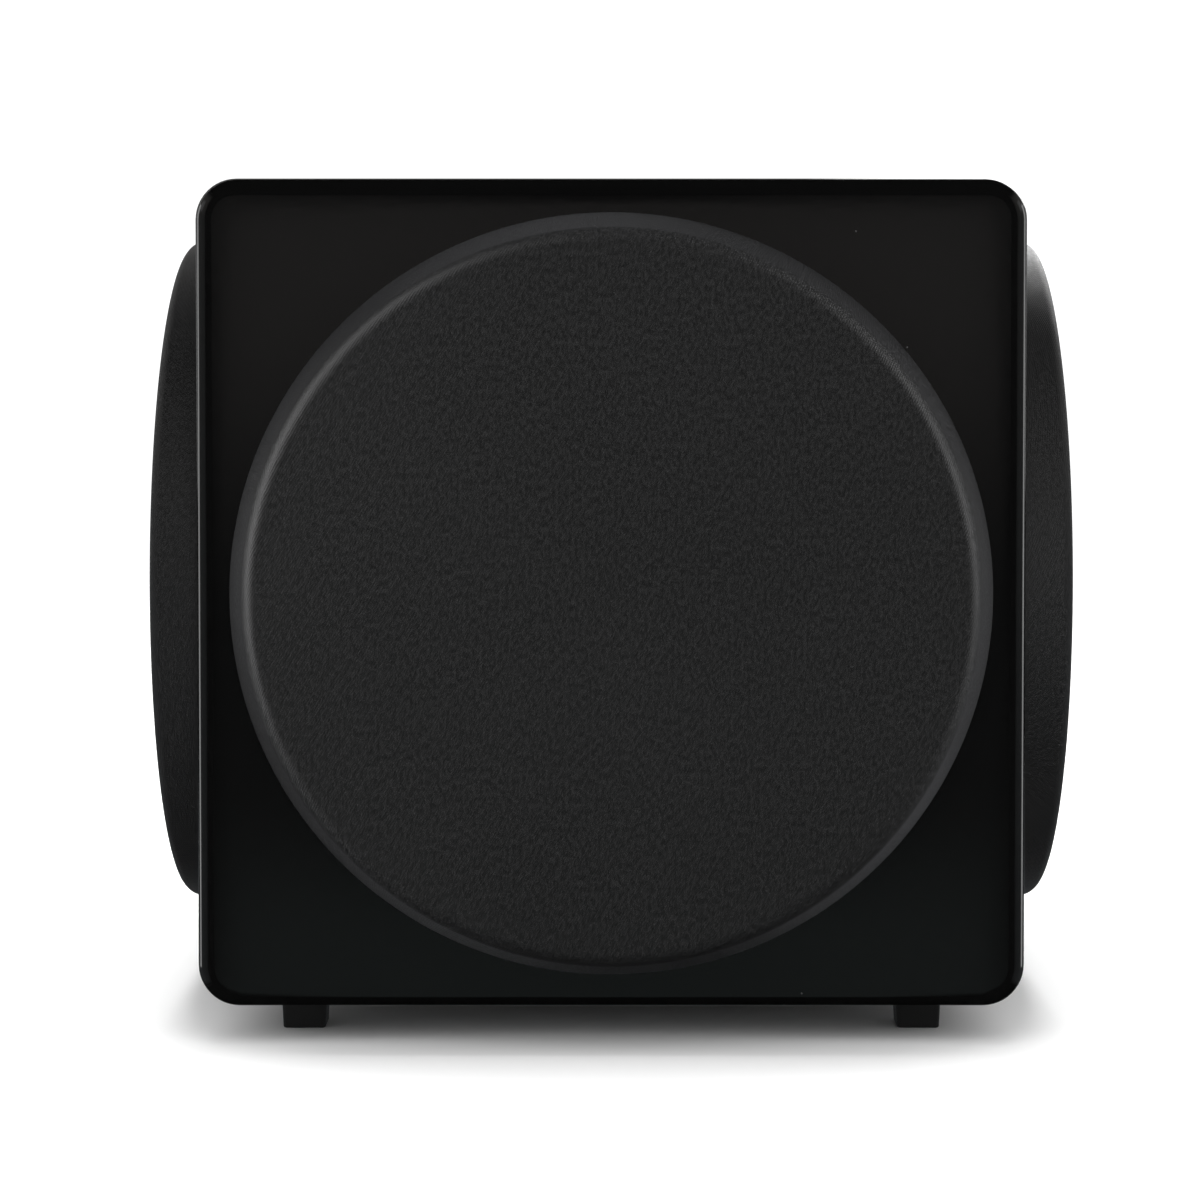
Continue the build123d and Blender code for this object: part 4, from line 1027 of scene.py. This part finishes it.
class SUB_OT_stage(bpy.types.Operator):
    """Lays the pale floor and sets the soft lamps and the camera"""

    bl_idname = "sub.stage"
    bl_label = "Stage"

    def execute(self, context):
        s = context.scene.sub_stage
        half = s.floor_size / 2
        corners = [(-half, -half, 0), (half, -half, 0), (half, half, 0), (-half, half, 0)]
        ground = make_piece("studio_floor", corners, [(0, 1, 2, 3)], studio_floor())
        ground.visible_glossy = False
        self.backdrop(s)
        self.front_card()
        for turn in range(1, 4):
            self.room_card(turn * math.pi / 2)
        pieces = [piece for piece in bpy.data.objects if piece.type == "MESH" and piece.visible_camera
                  and piece.name not in ("studio_floor", "backdrop")]
        cloth = [bpy.data.objects["front_cloth"]]
        sides = [bpy.data.objects[name] for name in ("left_cloth", "right_cloth")]
        shell = [bpy.data.objects["cabinet_shell"]]
        over = self.lamp("lamp over", (0.0, -0.5, 2.2), (0.0, 0.0, 0.0), (2.4, 2.4), 8.0)
        over.visible_glossy = False
        self.lamp("lamp floor", (0.0, 0.3, 2.2), (0.0, 0.0, 0.0), (1.2, 1.2), 60.0, [ground])
        self.lamp("lamp behind", (0.9, 2.2, 1.3), (0.0, 0.0, 0.2), (1.2, 1.2), 22.0, pieces)
        for name, place, size, watts in (("lamp left", (-1.4, -0.75, 0.35), (0.6, 1.2), 13.0),
                                         ("lamp upper left", (-0.85, -0.65, 1.15), (0.6, 0.6), 4.0),
                                         ("lamp right", (1.4, -0.75, 0.4), (0.6, 1.1), 7.0)):
            shine = self.lamp(name, place, (0.0, -0.16, 0.2), size, watts, cloth)
            shine.visible_diffuse = False
        for way, height, watts in ((-1, 0.2, 56.0), (1, 1.1, 84.0)):
            place = (way * 1.5, -0.25, height)
            rim = self.lamp("rim lamp", place, (0.0, -0.16, 0.2), (0.9, 1.3), watts, cloth)
            rim.visible_glossy = False
            self.lamp("edge lamp", (way * 1.7, 0.55, 0.3), (0.0, -0.16, 0.2), (0.5, 1.3), 4.0, shell)
        self.lamp("lamp sides", (0.3, -2.2, 0.7), (0.0, 0.0, 0.2), (0.8, 0.8), 16.0, sides)
        self.surroundings(s.backdrop)
        self.camera(s)
        return {"FINISHED"}

    def lamp(self, name, place, target, size, watts, lit=None):
        """A soft rectangular lamp. Where lit is given, it lists the only pieces that the lamp lights."""
        light = bpy.data.lights.new(name, "AREA")
        light.shape = "RECTANGLE"
        light.size, light.size_y = size
        light.energy = watts
        holder = bpy.data.objects.new(name, light)
        holder.location = place
        holder.rotation_euler = (Vector(target) - Vector(place)).to_track_quat("-Z", "Y").to_euler()
        bpy.context.scene.collection.objects.link(holder)
        if lit:
            flagged = bpy.data.collections.new(f"{name} lights")
            for piece in lit:
                flagged.objects.link(piece)
            holder.light_linking.receiver_collection = flagged
        return holder

    def front_card(self):
        """A dim card in front, which the flat lacquer mirrors: neutral above, greener below."""
        wide, low, high, away = 0.75, -4.0, 0.75, -3.0
        corners = [(-wide, away, low), (-wide, away, high), (wide, away, high), (wide, away, low)]
        glow = Finish("front card", Roughness=1.0, Emission_Strength=1.0)
        x, _, z = glow.axes(glow.place())
        edges = (1 - abs(x).step(0.45, 0.58)) * (1 - z.step(0.43, 0.53))
        middle = z.step(-0.5, -0.28)
        lower = glow.mixed(middle, (0.125, 0.15, 0.146), (0.034, 0.036, 0.036))
        shades = glow.mixed(z.step(-0.1, 0.36), lower, (0.225, 0.212, 0.205))
        glow.set(Base_Color=(0, 0, 0), Emission_Color=glow.mixed(edges, (0.0, 0.0, 0.0), shades))
        card = make_piece("front_card", corners, [(0, 1, 2, 3)], glow.material)
        card.visible_camera = False
        card.visible_diffuse = False
        card.visible_shadow = False

    def room_card(self, turn):
        """A dim wall of the room, which the lacquer mirrors, with a soft brighter window high up."""
        wide, low, high, away = 2.3, -1.8, 2.6, 2.5
        corners = [(-wide, -away, low), (-wide, -away, high), (wide, -away, high), (wide, -away, low)]
        glow = Finish("room wall", Roughness=1.0, Emission_Strength=1.0)
        x, y, z = glow.axes(glow.place())
        along = x * math.cos(turn) + y * math.sin(turn)
        edges = (1 - abs(along).step(1.4, 2.3)) * z.step(low, low + 0.5) * (1 - z.step(1.9, 2.6))
        window = (1 - abs(along).step(0.5, 0.75)) * z.step(0.8, 1.1) * (1 - z.step(1.5, 1.8))
        wall = glow.mixed(z.step(-0.4, 1.6), (0.13, 0.14, 0.145), (0.24, 0.23, 0.22))
        lit = glow.mixed(window, wall, (0.65, 0.65, 0.65))
        glow.set(Base_Color=(0, 0, 0), Emission_Color=glow.mixed(edges, (0, 0, 0), lit))
        card = make_piece("room_wall", [Matrix.Rotation(turn, 3, "Z") @ Vector(c) for c in corners],
                          [(0, 1, 2, 3)], glow.material)
        card.visible_camera = False
        card.visible_diffuse = False
        card.visible_shadow = False

    def backdrop(self, s):
        """A white wall behind the cabinet, which only the lacquer's outermost edges mirror."""
        wide, high, away = 3.6, 3.0, 2.7
        corners = [(-wide, away, 0), (wide, away, 0), (wide, away, high), (-wide, away, high)]
        glow = Finish("white backdrop", Roughness=1.0, Emission_Strength=s.backdrop)
        tone = glow.noise(glow.place(), 0.6, 1.0)
        glow.set(Base_Color=glow.mixed(tone, (0.02, 0.02, 0.02), (0.03, 0.03, 0.03)))
        glow.set(Emission_Color=glow.mixed(tone, (0.98, 0.98, 0.98), (1, 1, 1)))
        wall = make_piece("backdrop", corners, [(0, 1, 2, 3)], glow.material)

    def surroundings(self, brightness):
        world = bpy.data.worlds.new("white surroundings")
        bpy.context.scene.world = world
        world.use_nodes = True
        world.node_tree.nodes["Background"].inputs["Color"].default_value = (1, 1, 1, 1)
        world.node_tree.nodes["Background"].inputs["Strength"].default_value = brightness
        world.cycles_visibility.glossy = False

    def camera(self, s):
        lens = bpy.data.cameras.new("camera")
        lens.lens = s.lens
        lens.sensor_width = 36
        lens.shift_x, lens.shift_y = -0.0094, -0.1128
        lens.dof.use_dof = False
        lens.clip_start, lens.clip_end = 0.01, 50
        camera = bpy.data.objects.new("camera", lens)
        camera.location = (0, -FRONT_HALF - s.camera_back, s.camera_height)
        camera.rotation_euler = Euler((math.radians(88), 0, 0))
        bpy.context.scene.collection.objects.link(camera)
        bpy.context.scene.camera = camera
        bpy.context.scene.view_settings.view_transform = "Standard"


# ---------------------------------------------------------------- panel


OPERATORS = (SUB_OT_cabinet, SUB_OT_grilles, SUB_OT_drivers, SUB_OT_amplifier, SUB_OT_stage)


class SUB_PT_panel(bpy.types.Panel):
    """Lists the subwoofer's settings and the buttons that build it"""

    bl_idname = "SUB_PT_panel"
    bl_label = "Subwoofer"
    bl_space_type = "VIEW_3D"
    bl_region_type = "UI"
    bl_category = "Subwoofer"

    def draw(self, context):
        for operator, name in zip(OPERATORS, SETTINGS):
            box = self.layout.box()
            group = getattr(context.scene, name)
            for key in SETTINGS[name].__annotations__:
                box.prop(group, key)
            box.operator(operator.bl_idname)


def register():
    for group in SETTINGS.values():
        bpy.utils.register_class(group)
    for name, group in SETTINGS.items():
        setattr(bpy.types.Scene, name, PointerProperty(type=group))
    for operator in OPERATORS:
        bpy.utils.register_class(operator)
    bpy.utils.register_class(SUB_PT_panel)


def unregister():
    bpy.utils.unregister_class(SUB_PT_panel)
    for operator in reversed(OPERATORS):
        bpy.utils.unregister_class(operator)
    for name in SETTINGS:
        delattr(bpy.types.Scene, name)
    for group in reversed(list(SETTINGS.values())):
        bpy.utils.unregister_class(group)


def main():
    register()
    for build in (bpy.ops.sub.cabinet, bpy.ops.sub.grilles, bpy.ops.sub.drivers,
                  bpy.ops.sub.amplifier, bpy.ops.sub.stage):
        build()


if __name__ == "__main__":
    main()
